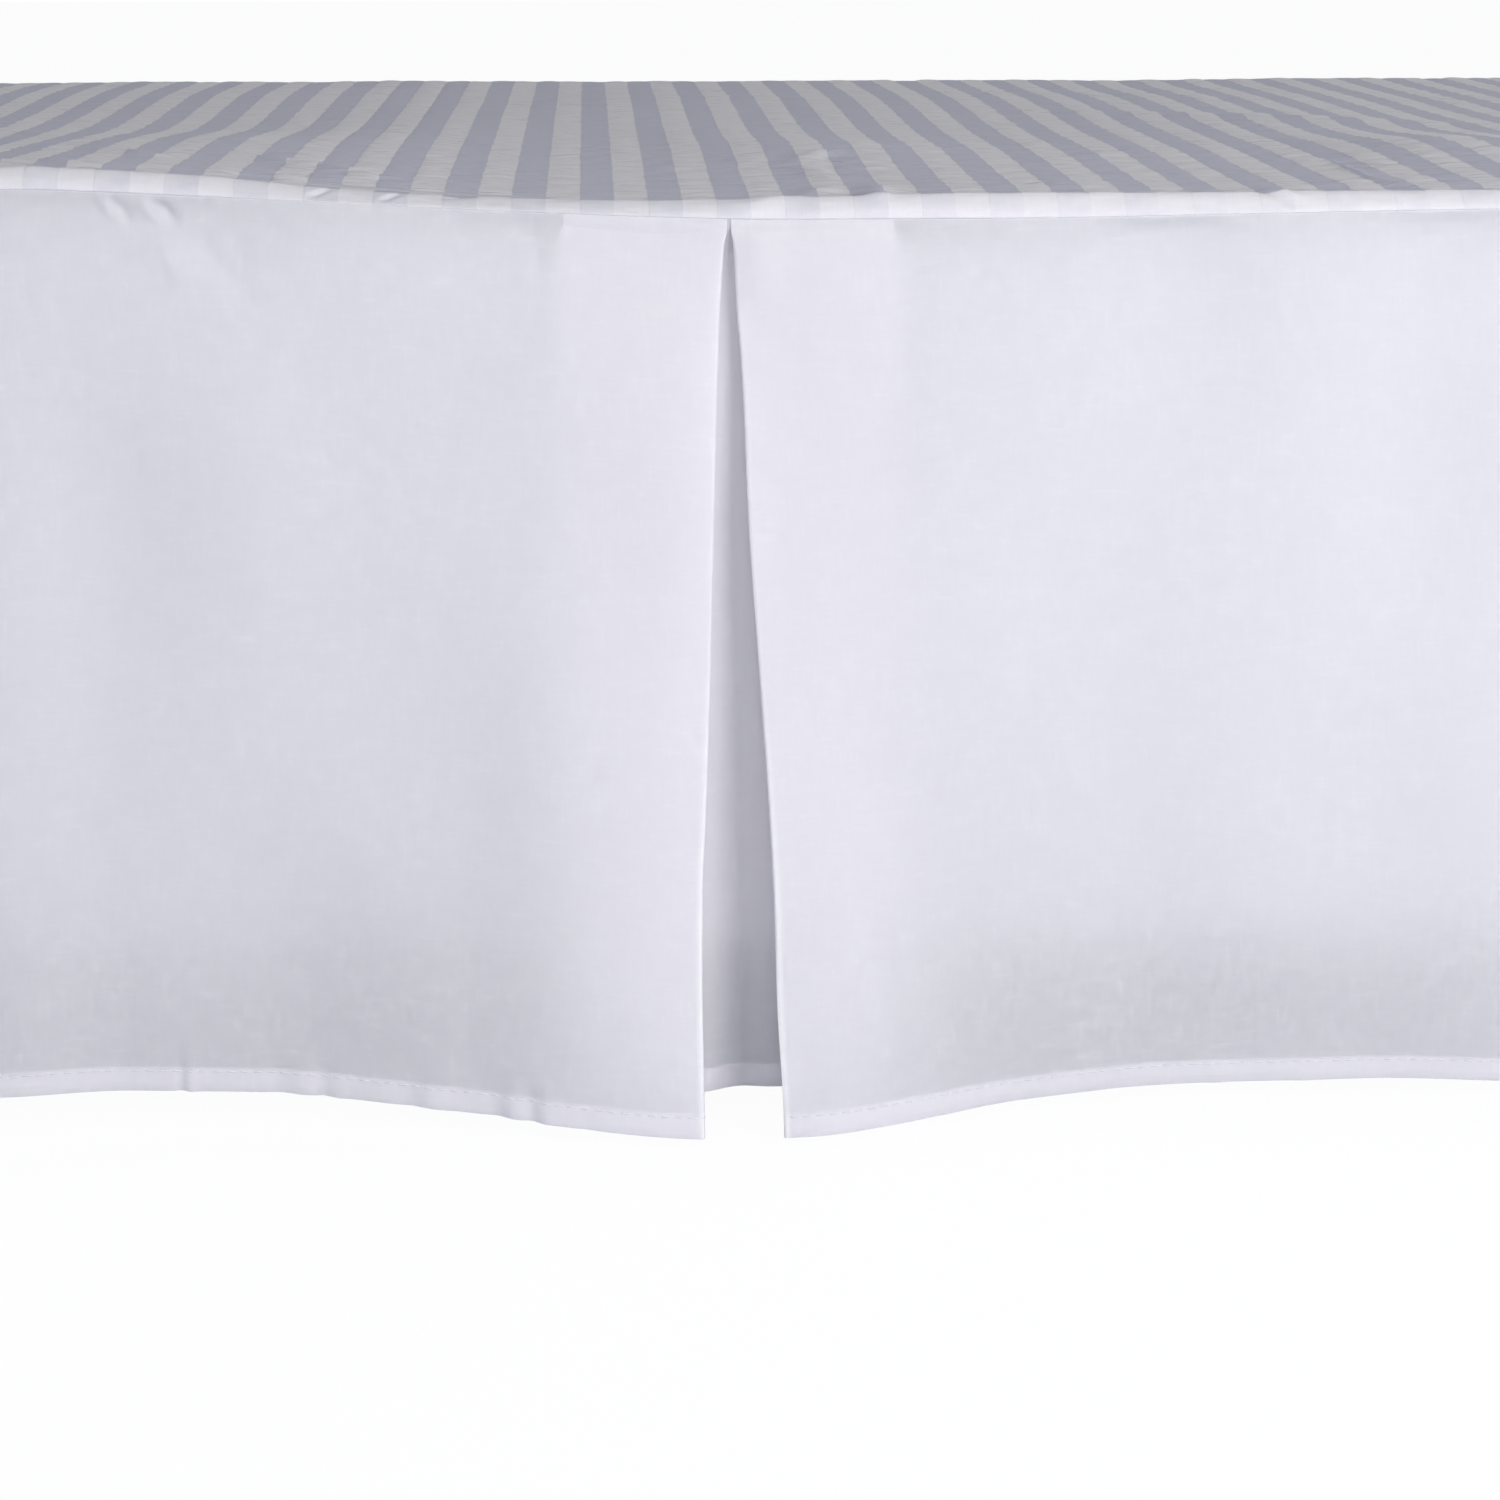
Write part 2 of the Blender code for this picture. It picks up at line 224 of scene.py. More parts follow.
# Slow swells of the front panel. x, drop, reach along x, reach down, rise
FRONT_SWELLS = (
    (0.01, 0.015, 0.009, 0.012, 0.0022),
    (-0.265, 0.18, 0.05, 0.11, -0.0034),
    (-0.195, 0.12, 0.04, 0.09, 0.0026),
    (-0.11, 0.23, 0.04, 0.08, -0.002),
    (0.105, 0.16, 0.045, 0.12, 0.0016),
    (0.17, 0.09, 0.035, 0.07, -0.0022),
    (0.215, 0.22, 0.045, 0.09, 0.0022),
    (0.275, 0.11, 0.03, 0.09, -0.003),
)

# Small ripples at the front hem. x, half width, rise
HEM_RIPPLES = (
    (-0.2225, 0.0022, -0.0011),
    (-0.2185, 0.0024, 0.0008),
    (-0.183, 0.005, -0.001),
    (-0.174, 0.0045, 0.0008),
    (-0.165, 0.0026, -0.0012),
    (-0.16, 0.003, 0.0009),
    (-0.13, 0.0045, -0.0009),
    (-0.12, 0.006, 0.0008),
    (-0.096, 0.004, -0.0011),
    (-0.089, 0.0035, 0.0008),
    (-0.0815, 0.003, -0.0012),
    (-0.0755, 0.0035, 0.0009),
    (-0.06, 0.0035, -0.0008),
    (0.09, 0.006, 0.0006),
    (0.16, 0.008, -0.0005),
    (0.201, 0.005, 0.0006),
    (0.238, 0.006, 0.0005),
)

# Folds of the deck. Start and end as (x, distance in from the front), half width, rise
DECK_FOLDS = (
    (0.003, 0.001, 0.028, 0.011, 0.004, 0.0012),
    (0.028, 0.011, 0.047, 0.044, 0.005, 0.0018),
    (0.059, 0.003, 0.06, 0.04, 0.004, 0.0022),
    (0.032, 0.12, 0.052, 0.162, 0.005, 0.002),
    (0.036, 0.112, 0.048, 0.06, 0.004, 0.0014),
    (0.261, 0.135, 0.264, 0.045, 0.0022, 0.0012),
    (0.264, 0.045, 0.278, 0.012, 0.0022, 0.001),
    (0.2, 0.024, 0.224, 0.004, 0.0016, 0.0013),
    (0.197, 0.019, 0.221, 0.001, 0.0018, -0.0009),
    (0.1426, 0.0, 0.142, 0.009, 0.0008, -0.0005),
    (0.17, 0.0, 0.1704, 0.009, 0.0008, -0.0005),
    (-0.193, 0.104, -0.136, 0.051, 0.006, 0.002),
    (-0.257, 0.116, -0.226, 0.078, 0.006, 0.0018),
    (-0.274, 0.046, -0.246, 0.02, 0.003, 0.0018),
    (-0.161, 0.001, -0.153, 0.008, 0.0012, -0.0014),
    (-0.1635, 0.001, -0.1555, 0.0085, 0.0013, 0.0003),
    (-0.134, 0.001, -0.126, 0.0085, 0.0012, -0.0014),
    (-0.1365, 0.001, -0.1285, 0.009, 0.0013, 0.0003),
    (-0.112, 0.006, -0.098, 0.01, 0.002, -0.0012),
    (-0.3, 0.06, -0.262, 0.002, 0.006, 0.0012),
    (-0.47, 0.18, -0.42, 0.01, 0.008, 0.0014),
    (0.42, 0.16, 0.45, 0.004, 0.008, 0.0014),
    (0.54, 0.12, 0.56, 0.006, 0.007, 0.0012),
    (-0.56, 0.3, -0.38, 0.42, 0.012, 0.0014),
    (0.18, 0.42, 0.38, 0.33, 0.014, 0.0016),
    (-0.12, 0.56, 0.08, 0.5, 0.012, 0.0012),
)

# Slow swells of the deck. x, distance in from the front, reach along x, reach in, rise
DECK_SWELLS = (
    (-0.235, 0.19, 0.11, 0.1, 0.005),
    (0.045, 0.18, 0.055, 0.075, 0.0038),
    (0.33, 0.19, 0.06, 0.08, 0.005),
    (-0.48, 0.26, 0.12, 0.12, 0.003),
    (-0.15, 0.01, 0.05, 0.016, -0.0016),
    (0.12, 0.48, 0.16, 0.1, 0.0028),
    (-0.3, 0.56, 0.14, 0.09, 0.0024),
)


def smooth(rows, place, column=1):
    """Read a column of a table on a smooth curve through its rows, for an array of places."""
    place = np.asarray(place, dtype=float)
    at = np.array([row[0] for row in rows])
    value = np.array([row[column] for row in rows])
    span = np.diff(at)
    slope = np.diff(value) / span
    tangent = np.zeros(len(at))
    turns = slope[:-1] * slope[1:] > 0
    both = slope[:-1] + slope[1:]
    safe = np.where(turns, both, 1.0)
    tangent[1:-1] = np.where(turns, 2 * slope[:-1] * slope[1:] / safe, 0.0)
    clipped = np.clip(place, at[0], at[-1])
    i = np.clip(np.searchsorted(at, clipped, side="right") - 1, 0, len(span) - 1)
    t = (clipped - at[i]) / span[i]
    start = value[i] * (1 + 2 * t) * (1 - t) ** 2
    end = value[i + 1] * (3 - 2 * t) * t**2
    bend = tangent[i] * (1 - t) ** 2 * t - tangent[i + 1] * (1 - t) * t**2
    return start + end + bend * span[i]


def spread(start, end, step, zones=()):
    """Give places from start to end, a step apart, and closer together in the zones."""
    path = np.linspace(start, end, 6001)
    density = np.full(len(path), 1 / step)
    for low, high, near in zones:
        density[(path >= low) & (path <= high)] = 1 / near
    mean = (density[1:] + density[:-1]) / 2
    count = np.concatenate([[0.0], np.cumsum(mean * np.diff(path))])
    return np.interp(np.linspace(0.0, count[-1], round(count[-1]) + 1), count, path)


def seam_height(x, at_front):
    """Give the height of the seam between the deck and a panel."""
    if at_front:
        return SEAM_HEIGHT + smooth(FRONT_EDGE, x, 1)
    return np.full(np.shape(x), SEAM_HEIGHT + PLAIN_SEAM_RISE)


def crease_field(creases, x, y):
    """Add up soft troughs and ridges that run from point to point and fade at their ends."""
    total = np.zeros(np.shape(x))
    for x0, y0, x1, y1, width, rise in creases:
        length = math.hypot(x1 - x0, y1 - y0)
        along = ((x - x0) * (x1 - x0) + (y - y0) * (y1 - y0)) / length**2
        across = ((x - x0) * (y1 - y0) - (y - y0) * (x1 - x0)) / length
        inside = np.clip(along, 0.0, 1.0)
        beyond = (along - inside) * length
        fade = np.sin(np.pi * np.clip(along * 0.8 + 0.1, 0.0, 1.0))
        total += rise * fade * np.exp(-((across / width) ** 2) - (beyond / width) ** 2)
    return total


def hump(place, middle, reach):
    """Give a soft hump, which is 1 at its middle."""
    return np.exp(-(((place - middle) / reach) ** 2))


def swell_field(swells, x, y):
    """Add up soft round swells."""
    total = np.zeros(np.shape(x))
    for x0, y0, reach_x, reach_y, rise in swells:
        total += rise * hump(x, x0, reach_x) * hump(y, y0, reach_y)
    return total


def slow_noise(x, y, size, seed):
    """Give smooth unevenness from a few seeded waves, about -1 to 1."""
    rng = np.random.default_rng(seed)
    waves, calm = 7, 3.2
    total = np.zeros(np.shape(x))
    for _ in range(waves):
        angle = rng.uniform(0, math.pi)
        pitch = size * rng.uniform(0.7, 1.9)
        phase = rng.uniform(0, 2 * math.pi)
        wave = (x * math.cos(angle) + y * math.sin(angle)) * 2 * math.pi / pitch
        total += np.sin(wave + phase)
    return total / calm


class Value:
    """A shader socket that Python's operators turn into Math nodes."""

    def __init__(self, maker, socket):
        self.maker = maker
        self.socket = socket

    def _math(self, operation, *values):
        return self.maker.node("ShaderNodeMath", {"operation": operation}, *values)

    def __add__(self, other):
        return self._math("ADD", self, other)

    def __radd__(self, other):
        return self._math("ADD", other, self)

    def __sub__(self, other):
        return self._math("SUBTRACT", self, other)

    def __rsub__(self, other):
        return self._math("SUBTRACT", other, self)

    def __mul__(self, other):
        return self._math("MULTIPLY", self, other)

    def __rmul__(self, other):
        return self._math("MULTIPLY", other, self)

    def __truediv__(self, other):
        return self._math("DIVIDE", self, other)

    def function(self, operation, *others):
        """Apply another of the Math node's operations."""
        return self._math(operation, self, *others)

    def clamped(self):
        """Keep the value between 0 and 1."""
        return self.function("MAXIMUM", 0.0).function("MINIMUM", 1.0)


class Nodes:
    """A node tree under construction, with one method that adds any node."""

    def __init__(self, tree):
        self.tree = tree

    def node(self, kind, settings=None, *values, out=0, **named):
        """Add a node, set it up, then fill its sockets in order or by name."""
        node = self.tree.nodes.new(kind)
        for key, value in (settings or {}).items():
            setattr(node, key, value)
        for k, value in enumerate(values):
            self.fill(node.inputs[k], value)
        for key, value in named.items():
            self.fill(self.socket(node, key), value)
        return Value(self, node.outputs[out])

    def socket(self, node, key):
        """Find an input by its identifier or its name."""
        names = (key, key.replace("_", " "))
        return next(s for s in node.inputs if s.identifier == key or s.name in names)

    def fill(self, socket, value):
        """Link a socket, or set its value."""
        if isinstance(value, Value):
            self.tree.links.new(value.socket, socket)
        elif value is not None:
            socket.default_value = value


class Finish(Nodes):
    """A material under construction."""

    def __init__(self, name):
        self.material = bpy.data.materials.new(name)
        self.material.use_nodes = True
        super().__init__(self.material.node_tree)
        self.shader = self.tree.nodes["Principled BSDF"]
        self.output = self.tree.nodes["Material Output"]

    def set(self, **named):
        """Fill the Principled shader's sockets by name."""
        for key, value in named.items():
            self.fill(self.socket(self.shader, key), value)

    def blend_shader(self, share, other):
        """Mix another shader into the material's own."""
        own = Value(self, self.shader.outputs[0])
        mixed = self.node("ShaderNodeMixShader", {}, share, own, other)
        self.fill(self.output.inputs[0], mixed)

    def mix(self, factor, first, second, blend="MIX"):
        """Mix two colours."""
        settings = {"data_type": "RGBA", "blend_type": blend}
        named = {"Factor_Float": factor, "A_Color": first, "B_Color": second}
        return self.node("ShaderNodeMix", settings, out=2, **named)

    def uv(self):
        """Give the cloth's own coordinates, in metres along and down it."""
        return self.node("ShaderNodeUVMap", {"uv_map": "cloth"})

    def object_place(self):
        """Give the object's own coordinates, in metres."""
        return self.node("ShaderNodeTexCoord", out=3)

    def split(self, vector):
        """Split a vector into its parts."""
        first = self.node("ShaderNodeSeparateXYZ", {}, vector)
        return [Value(self, output) for output in first.socket.node.outputs]

    def stretch(self, vector, x, y, z=1.0):
        """Scale a vector by parts."""
        return self.node("ShaderNodeVectorMath", {"operation": "MULTIPLY"}, vector, (x, y, z))

    def noise(self, vector, x, y, detail=2.0, z=1.0):
        """Give a noise with so many swings a metre each way, from 0 to 1."""
        place = self.stretch(vector, x, y, z)
        return self.node("ShaderNodeTexNoise", {}, Vector=place, Scale=1.0, Detail=detail)

    def bump(self, height, distance, strength=1.0):
        """Turn a height from 0 to 1 into a normal."""
        return self.node("ShaderNodeBump", {}, Strength=strength, Distance=distance, Height=height)


def thread_noise(finish, place, pitch, length):
    """Give the thick and thin places of the yarns down and along a plain weave, from 0 to 1."""
    along, aside = 7.31, 3.17  # how far one yarn's noise stands from the next one's
    x, y, _ = finish.split(place)
    row = (y / pitch).function("FLOOR")
    column = (x / pitch).function("FLOOR")
    kind = "ShaderNodeCombineXYZ"
    on_row = finish.node(kind, {}, x / length + row * along, row * aside, 0.0)
    on_column = finish.node(kind, {}, column * aside, y / length + column * along, 9.0)
    weft = finish.noise(on_row, 1.0, 1.0, 1.0)
    warp = finish.noise(on_column, 1.0, 1.0, 1.0)
    return warp, weft


def plain_weave(finish, place, pitch):
    """Give the over and under of a plain weave, from 0 to 1."""
    x, y, _ = finish.split(place)
    turn = 2 * math.pi / pitch
    over = (x * turn).function("SINE") * (y * turn).function("SINE")
    return over * 0.5 + 0.5


def scaled(colour, *shares):
    """Scale the parts of a colour by one share or three, and add its alpha."""
    shares = shares * 3 if len(shares) == 1 else shares
    return (*(part * share for part, share in zip(colour, shares)), 1.0)


def white_cloth_finish(colours):
    """Make the sheer white cloth of the panels, with a painted highlight along the pleat's pressed
    folds.
    """
    yarn_pitch, yarn_length, weave_pitch = 0.0011, 0.009, 0.0009
    thick_from = 0.58
    finish = Finish("white_cloth")
    place = finish.uv()
    warp, weft = thread_noise(finish, place, yarn_pitch, yarn_length)
    broad = finish.noise(place, 40.0, 26.0, 2.0)
    thick_weft = (weft - thick_from).function("MAXIMUM", 0.0)
    thick_warp = (warp - thick_from).function("MAXIMUM", 0.0)
    slub = (weft + warp - 1.0) * 0.9 + (thick_weft + thick_warp) * 1.2 - 0.06
    # Painted highlight along the pleat's pressed folds: a brighter colour there, and less light
    # passing through
    fold = finish.node("ShaderNodeAttribute", {"attribute_name": "painted_fold_highlight"}, out=2)
    tone = slub * 0.30 + (broad - 0.5) * 0.12 + fold * 0.26 + 0.5
    deep = scaled(colours.white, 0.86, 0.86, 0.885)
    bright = (*(min(part * 1.08, 0.99) for part in colours.white), 1.0)
    colour = finish.mix(tone.function("MAXIMUM", 0.0), deep, bright)
    weave = plain_weave(finish, place, weave_pitch)
    height = weave * 0.10 + warp * 0.45 + weft * 0.45
    normal = finish.bump(height, 0.00022, 0.06)
    rough = 0.80 + broad * 0.14
    finish.set(Base_Color=colour, Roughness=rough, Normal=normal)
    finish.set(Specular_IOR_Level=0.18, Sheen_Weight=0.12, Sheen_Roughness=0.5)
    back = finish.node("ShaderNodeBsdfTranslucent", {}, (*colours.glow, 1.0), normal)
    finish.blend_shader(colours.sheer - slub * 0.07 - fold * 0.13, back)
    return finish.material


def deck_cloth_finish(sizes, colours):
    """Make the striped deck cloth, its stripes puckered, with painted shade between the puckers and
    painted light paling the stripes where it rolls to the seam.
    """
    yarn_pitch, yarn_length, weave_pitch = 0.0008, 0.012, 0.0010
    stripe_wobble, stripe_edge = 0.0012, 0.022
    fade_before, fade_width = 0.0005, 0.0025
    painted_light_from, painted_light_width = 0.01, 0.09
    valley_shade_width = 0.17
    finish = Finish("deck_cloth")
    place = finish.uv()
    x, y, _ = finish.split(place)

    # Stripes, a dark one in the first half of each pitch
    wobble = finish.noise(place, 30.0, 55.0, 1.0)
    first = sizes.stripe_pitch * STRIPES_BEFORE
    across = x + first - sizes.stripe_start + (wobble - 0.5) * stripe_wobble
    phase = (across / sizes.stripe_pitch).function("FRACT")
    rise = (phase / stripe_edge).function("MINIMUM", 1.0)
    fall = ((0.5 - phase) / stripe_edge + 1.0).clamped()
    dark = rise * fall
    stripe = finish.mix(dark, (*colours.stripe_light, 1.0), (*colours.stripe_dark, 1.0))

    # Painted light on the roll: paler, its stripes faded, blotchy, and palest right of the pleat
    past_x = x.function("ABSOLUTE") - (HALF_LENGTH - ROLL_DEPTH)
    past_y = y.function("ABSOLUTE") - (HALF_WIDTH - ROLL_DEPTH)
    over = ((past_x.function("MAXIMUM", past_y) + fade_before) / fade_width).clamped()
    blot = finish.noise(place, 95.0, 120.0, 2.0)
    # The painted light on the roll is strongest right of the pleat
    painted_light_right = ((x - painted_light_from) / painted_light_width).clamped()
    fade = colours.painted_roll_light + painted_light_right * 0.14 + (blot - 0.5) * 0.55
    stripe = finish.mix(over * fade.function("MINIMUM", 0.97), stripe, (*colours.roll, 1.0))

    # Yarns
    warp, weft = thread_noise(finish, place, yarn_pitch, yarn_length)
    slub = (weft - 0.5) * 0.9 + (warp - 0.5) * 1.1
    shade = finish.mix(slub * 0.5 + 0.5, (0.90, 0.90, 0.91, 1.0), (1.0, 1.0, 1.0, 1.0))
    colour = finish.mix(1.0, stripe, shade, "MULTIPLY")

    # Painted shade in fine lines between the puckers, which start anew in each stripe
    stripe_number = (across * 2.0 / sizes.stripe_pitch).function("FLOOR")
    start = finish.node("ShaderNodeTexWhiteNoise", {"noise_dimensions": "1D"}, W=stripe_number)
    bend = finish.noise(place, 24.0, 34.0, 2.0)
    rows = (y / sizes.pucker_line_pitch + start * 7.0 + (bend - 0.5) * 3.4).function("FRACT")
    valley_shade = (1.0 - (rows - 0.5).function("ABSOLUTE") / valley_shade_width).function("MAXIMUM", 0.0)
    patch = finish.noise(place, 60.0, 90.0, 2.0) * 3.2 - 1.0
    depth = valley_shade * patch.clamped() * (1.0 - over)
    # Painted shade in the lines between the puckers, which are also bumped below
    colour = finish.mix(depth * (0.30 - dark * 0.17), colour, (*colours.valley_shade, 1.0))

    fine = finish.noise(place, 90.0, 240.0, 2.0)
    weave = plain_weave(finish, place, weave_pitch)
    height = fine * (1.0 - dark * 0.6) * 0.6 + weave * 0.12 + weft * 0.12 - depth * 0.45
    normal = finish.bump(height, 0.0009, 0.8)
    finish.set(Base_Color=colour, Roughness=0.86 + fine * 0.08, Normal=normal)
    finish.set(Specular_IOR_Level=0.15, Sheen_Weight=0.08, Sheen_Roughness=0.5)
    return finish.material


def base_finish(colours):
    """Make the plain cover of the base."""
    finish = Finish("base_cover")
    place = finish.object_place()
    thread = finish.noise(place, 900.0, 900.0, 2.0, 900.0)
    broad = finish.noise(place, 9.0, 9.0, 3.0, 9.0)
    deep = scaled(colours.base, 0.90)
    colour = finish.mix(thread * 0.6 + broad * 0.4, deep, (*colours.base, 1.0))
    finish.set(Base_Color=colour, Roughness=0.82 + thread * 0.12)
    finish.set(Normal=finish.bump(thread, 0.0004, 0.6), Specular_IOR_Level=0.2)
    return finish.material


def wood_finish(colours):
    """Make the stained wood of the feet."""
    finish = Finish("foot_wood")
    place = finish.object_place()
    grain = finish.noise(place, 260.0, 260.0, 3.0, 14.0)
    pores = finish.noise(place, 1400.0, 1400.0, 1.0, 60.0)
    deep = scaled(colours.wood, 0.45, 0.42, 0.40)
    colour = finish.mix(grain * 0.8 + pores * 0.2, deep, (*colours.wood, 1.0))
    finish.set(Base_Color=colour, Roughness=0.36 + pores * 0.2)
    finish.set(Normal=finish.bump(grain * 0.5 + pores * 0.5, 0.0003, 0.5))
    return finish.material


def thread_finish(colours):
    """Make the white sewing thread."""
    finish = Finish("sewing_thread")
    place = finish.object_place()
    twist = finish.noise(place, 2600.0, 2600.0, 1.0, 2600.0)
    deep = scaled(colours.thread, 0.86, 0.86, 0.88)
    colour = finish.mix(twist, deep, (*colours.thread, 1.0))
    finish.set(Base_Color=colour, Roughness=0.5 + twist * 0.2)
    finish.set(Normal=finish.bump(twist, 0.0001, 0.5))
    return finish.material


def add_object(name, data, material=None):
    """Add an object with its data to the scene."""
    if material:
        data.materials.append(material)
    added = bpy.data.objects.new(name, data)
    bpy.context.scene.collection.objects.link(added)
    return added


def sheet_from_grid(name, points, cloth, material, fold=None):
    """Make a smooth quad mesh from a grid of points, with its own coordinates in metres."""
    rows, columns = points.shape[:2]
    index = np.arange(rows * columns).reshape(rows, columns)
    corners = (index[:-1, :-1], index[1:, :-1], index[1:, 1:], index[:-1, 1:])
    faces = np.stack([c.ravel() for c in corners], axis=1)
    mesh = bpy.data.meshes.new(name)
    mesh.from_pydata(points.reshape(-1, 3), [], faces)
    mesh.shade_smooth()
    layer = mesh.uv_layers.new(name="cloth")
    layer.data.foreach_set("uv", cloth.reshape(-1, 2)[faces.reshape(-1)].reshape(-1))
    if fold is not None:
        # The mask of the painted highlight along the pleat's folds
        mark = mesh.attributes.new("painted_fold_highlight", "FLOAT", "POINT")
        mark.data.foreach_set("value", fold.reshape(-1).astype(np.float32))
    mesh.validate()
    return add_object(name, mesh, material)


def deck_grid(sizes):
    """Work out the deck cloth: flat on the base, rolled over its edges, puckered and folded."""
    # Places in the flat cloth
    flat_x = HALF_LENGTH - CORNER_RADIUS
    flat_y = HALF_WIDTH - CORNER_RADIUS
    inner = CORNER_RADIUS - ROLL_DEPTH
    roll = sizes.roll_length
    edge = roll_places(inner, roll)
    flat_u = spread(-flat_x, flat_x, DECK_STEP, DECK_FINE)
    flat_v = spread(-flat_y, flat_y, DECK_ROW_STEP, DECK_ROWS_FINE)
    u = np.concatenate([-flat_x - edge[::-1], flat_u, flat_x + edge])
    v = np.concatenate([-flat_y - edge[::-1], flat_v, flat_y + edge])
    u, v = np.meshgrid(u, v)

    # The roll over the edges, with the corners rounded
    past_x = np.maximum(np.abs(u) - flat_x, 0.0)
    past_y = np.maximum(np.abs(v) - flat_y, 0.0)
    far = np.maximum(past_x, past_y)
    near = np.minimum(past_x, past_y)
    quarter = np.where(far > 0, near / np.maximum(far, 1e-9), 0.0) * math.pi / 4
    angle = np.where(past_x >= past_y, quarter, math.pi / 2 - quarter)
    turn = np.clip((far - inner) / roll, 0.0, 1.0) * math.pi / 2
    tuck = np.maximum(far - inner - roll, 0.0)
    radial = np.minimum(far, inner) + ROLL_DEPTH * np.sin(turn) ** ROLL_SQUASH
    out_x = np.sign(u) * np.cos(angle) * (past_x + past_y > 0)
    out_y = np.sign(v) * np.sin(angle) * (past_x + past_y > 0)
    x = np.clip(u, -flat_x, flat_x) + out_x * radial
    y = np.clip(v, -flat_y, flat_y) + out_y * radial

    # Heights: the front edge rises and dips, and that fades on the way in
    front = y < -flat_y
    low = np.where(front, seam_height(x, True), SEAM_HEIGHT + PLAIN_SEAM_RISE)
    crest = SEAM_HEIGHT + smooth(FRONT_EDGE, x, 2) - DECK_HEIGHT
    share = np.clip((y + HALF_WIDTH) / DIP_REACH, 0.0, 1.0)
    high = DECK_HEIGHT + crest * (1 - share**2 * (3 - 2 * share))
    z = low + (high - low) * np.cos(turn) ** ROLL_SQUASH

    # Puckers and folds
    lift = deck_relief(sizes, u, v, x, y, np.cos(turn))
    lift = lift * np.clip((far.max() - tuck - far) / TUCK_CALM, 0.0, 1.0)
    x = x + out_x * lift * np.sin(turn)
    y = y + out_y * lift * np.sin(turn)
    z = z + np.maximum(lift * np.cos(turn), LOWEST_DIP)

    # The edge turned in at the seam
    bend = np.clip(tuck / sizes.seam_round, 0.0, math.pi / 2)
    x -= out_x * sizes.seam_round * (1 - np.cos(bend))
    y -= out_y * sizes.seam_round * (1 - np.cos(bend))
    z -= sizes.seam_round * np.sin(bend)
    z += sizes.seam_round + sizes.seam_gap / 2
    z -= (sizes.seam_round + sizes.seam_gap / 2) * np.cos(turn) ** 2
    return np.stack([x, y, z], axis=2), np.stack([u, v], axis=2)


def roll_places(inner, roll):
    """Give the steps out from a corner's middle, over the roll and into the seam."""
    flat = np.linspace(0, inner, 4)[1:]
    over = inner + roll * np.linspace(0, 1, 13)[1:]
    tuck = inner + roll + SEAM_TUCK * np.linspace(0, 1, 5)[1:]
    return np.concatenate([flat, over, tuck])


def deck_relief(sizes, u, v, x, y, flatness):
    """Give the height of the deck's puckers and folds over its plain shape."""
    across = (u - sizes.stripe_start) / sizes.stripe_pitch
    phase = (across + STRIPES_BEFORE) % 1.0
    stripe = np.floor(across * 2 + 2 * STRIPES_BEFORE).astype(int)
    size = np.where(phase > 0.5, 1.0, sizes.dark_pucker_share) * sizes.pucker_rise
    within = 0.45 + 0.55 * np.sin(np.pi * ((phase * 2) % 1.0)) ** 0.5
    drift = slow_noise(u, v, 0.07, 3) * 0.9 + slow_noise(u, v, 0.3, 4) * 2.0
    rng = np.random.default_rng(11)
    count = 200
    puckers = np.zeros(np.shape(u))
    for share, pitch_share in ((0.68, 1.0), (0.32, 0.47)):
        start = rng.uniform(-0.7, 0.7, count)[stripe % count]
        pitch = rng.uniform(0.92, 1.12, count)[stripe % count] * sizes.pucker_pitch * pitch_share
        wave = np.abs(np.sin(math.pi * v / pitch + start + drift))
        puckers += share * wave**0.6
    patchy = np.clip(0.85 + 0.3 * slow_noise(u, v, 0.10, 5), 0.4, 1.2)
    deep = y + HALF_WIDTH
    swell = slow_noise(u, v, 0.16, 9) * 0.0005
    swell -= sizes.crest_dip * hump(deep - ROLL_DEPTH, CREST_DIP_PLACE, CREST_DIP_WIDTH)
    swell += swell_field(DECK_SWELLS, x, deep)
    folds = crease_field(DECK_FOLDS, x, deep)
    calm = (0.12 + 0.88 * flatness**2) * np.clip(0.35 + (deep - ROLL_DEPTH) / 0.02, 0.35, 1.0)
    return (puckers - 0.25) * size * within * patchy * calm + folds + swell


def side_place(along, half, out):
    """Place points on one side of the seam's outline, moved out along its normal."""
    straight = half - CORNER_RADIUS
    past = np.maximum(np.abs(along) - straight, 0.0)
    angle = np.sign(along) * past / CORNER_RADIUS
    x = np.clip(along, -straight, straight) + (CORNER_RADIUS + out) * np.sin(angle)
    y = CORNER_RADIUS - (CORNER_RADIUS + out) * np.cos(angle)
    return x, y


def half_pleat(sizes, r, mouth, corner_out, underlay_out):
    """Trace half a pleat from the face's fold to the underlay, as (distance, out, droop)."""
    fold = (mouth + r, -corner_out + r)
    inner = (sizes.pleat_return + 2 * r, -underlay_out - r)
    run = inner[0] - fold[0]
    back = inner[1] - fold[1]
    slant = math.atan2(back, run) - math.asin(2 * r / math.hypot(run, back))
    turn = np.linspace(0.0, 1.0, FOLD_STEPS + 1)
    first = math.radians(270) + (slant - math.pi) * turn
    flat = turn * 0
    near = np.stack([fold[0] + r * np.cos(first), fold[1] + r * np.sin(first), flat + 1], axis=1)
    arrive = (inner[0] + r * math.sin(slant), inner[1] - r * math.cos(slant))
    share = np.linspace(0.0, 1.0, RETURN_STEPS + 1)[1:-1]
    path_x = near[-1, 0] + (arrive[0] - near[-1, 0]) * share
    path_y = near[-1, 1] + (arrive[1] - near[-1, 1]) * share
    middle = np.stack([path_x, path_y, 1 - share], axis=1)
    second = slant - math.radians(90) + (math.pi - slant) * turn
    far = np.stack([inner[0] + r * np.cos(second), inner[1] + r * np.sin(second), flat], axis=1)
    trace = np.concatenate([near, middle, far])
    trace[:, 1] *= -1
    return trace


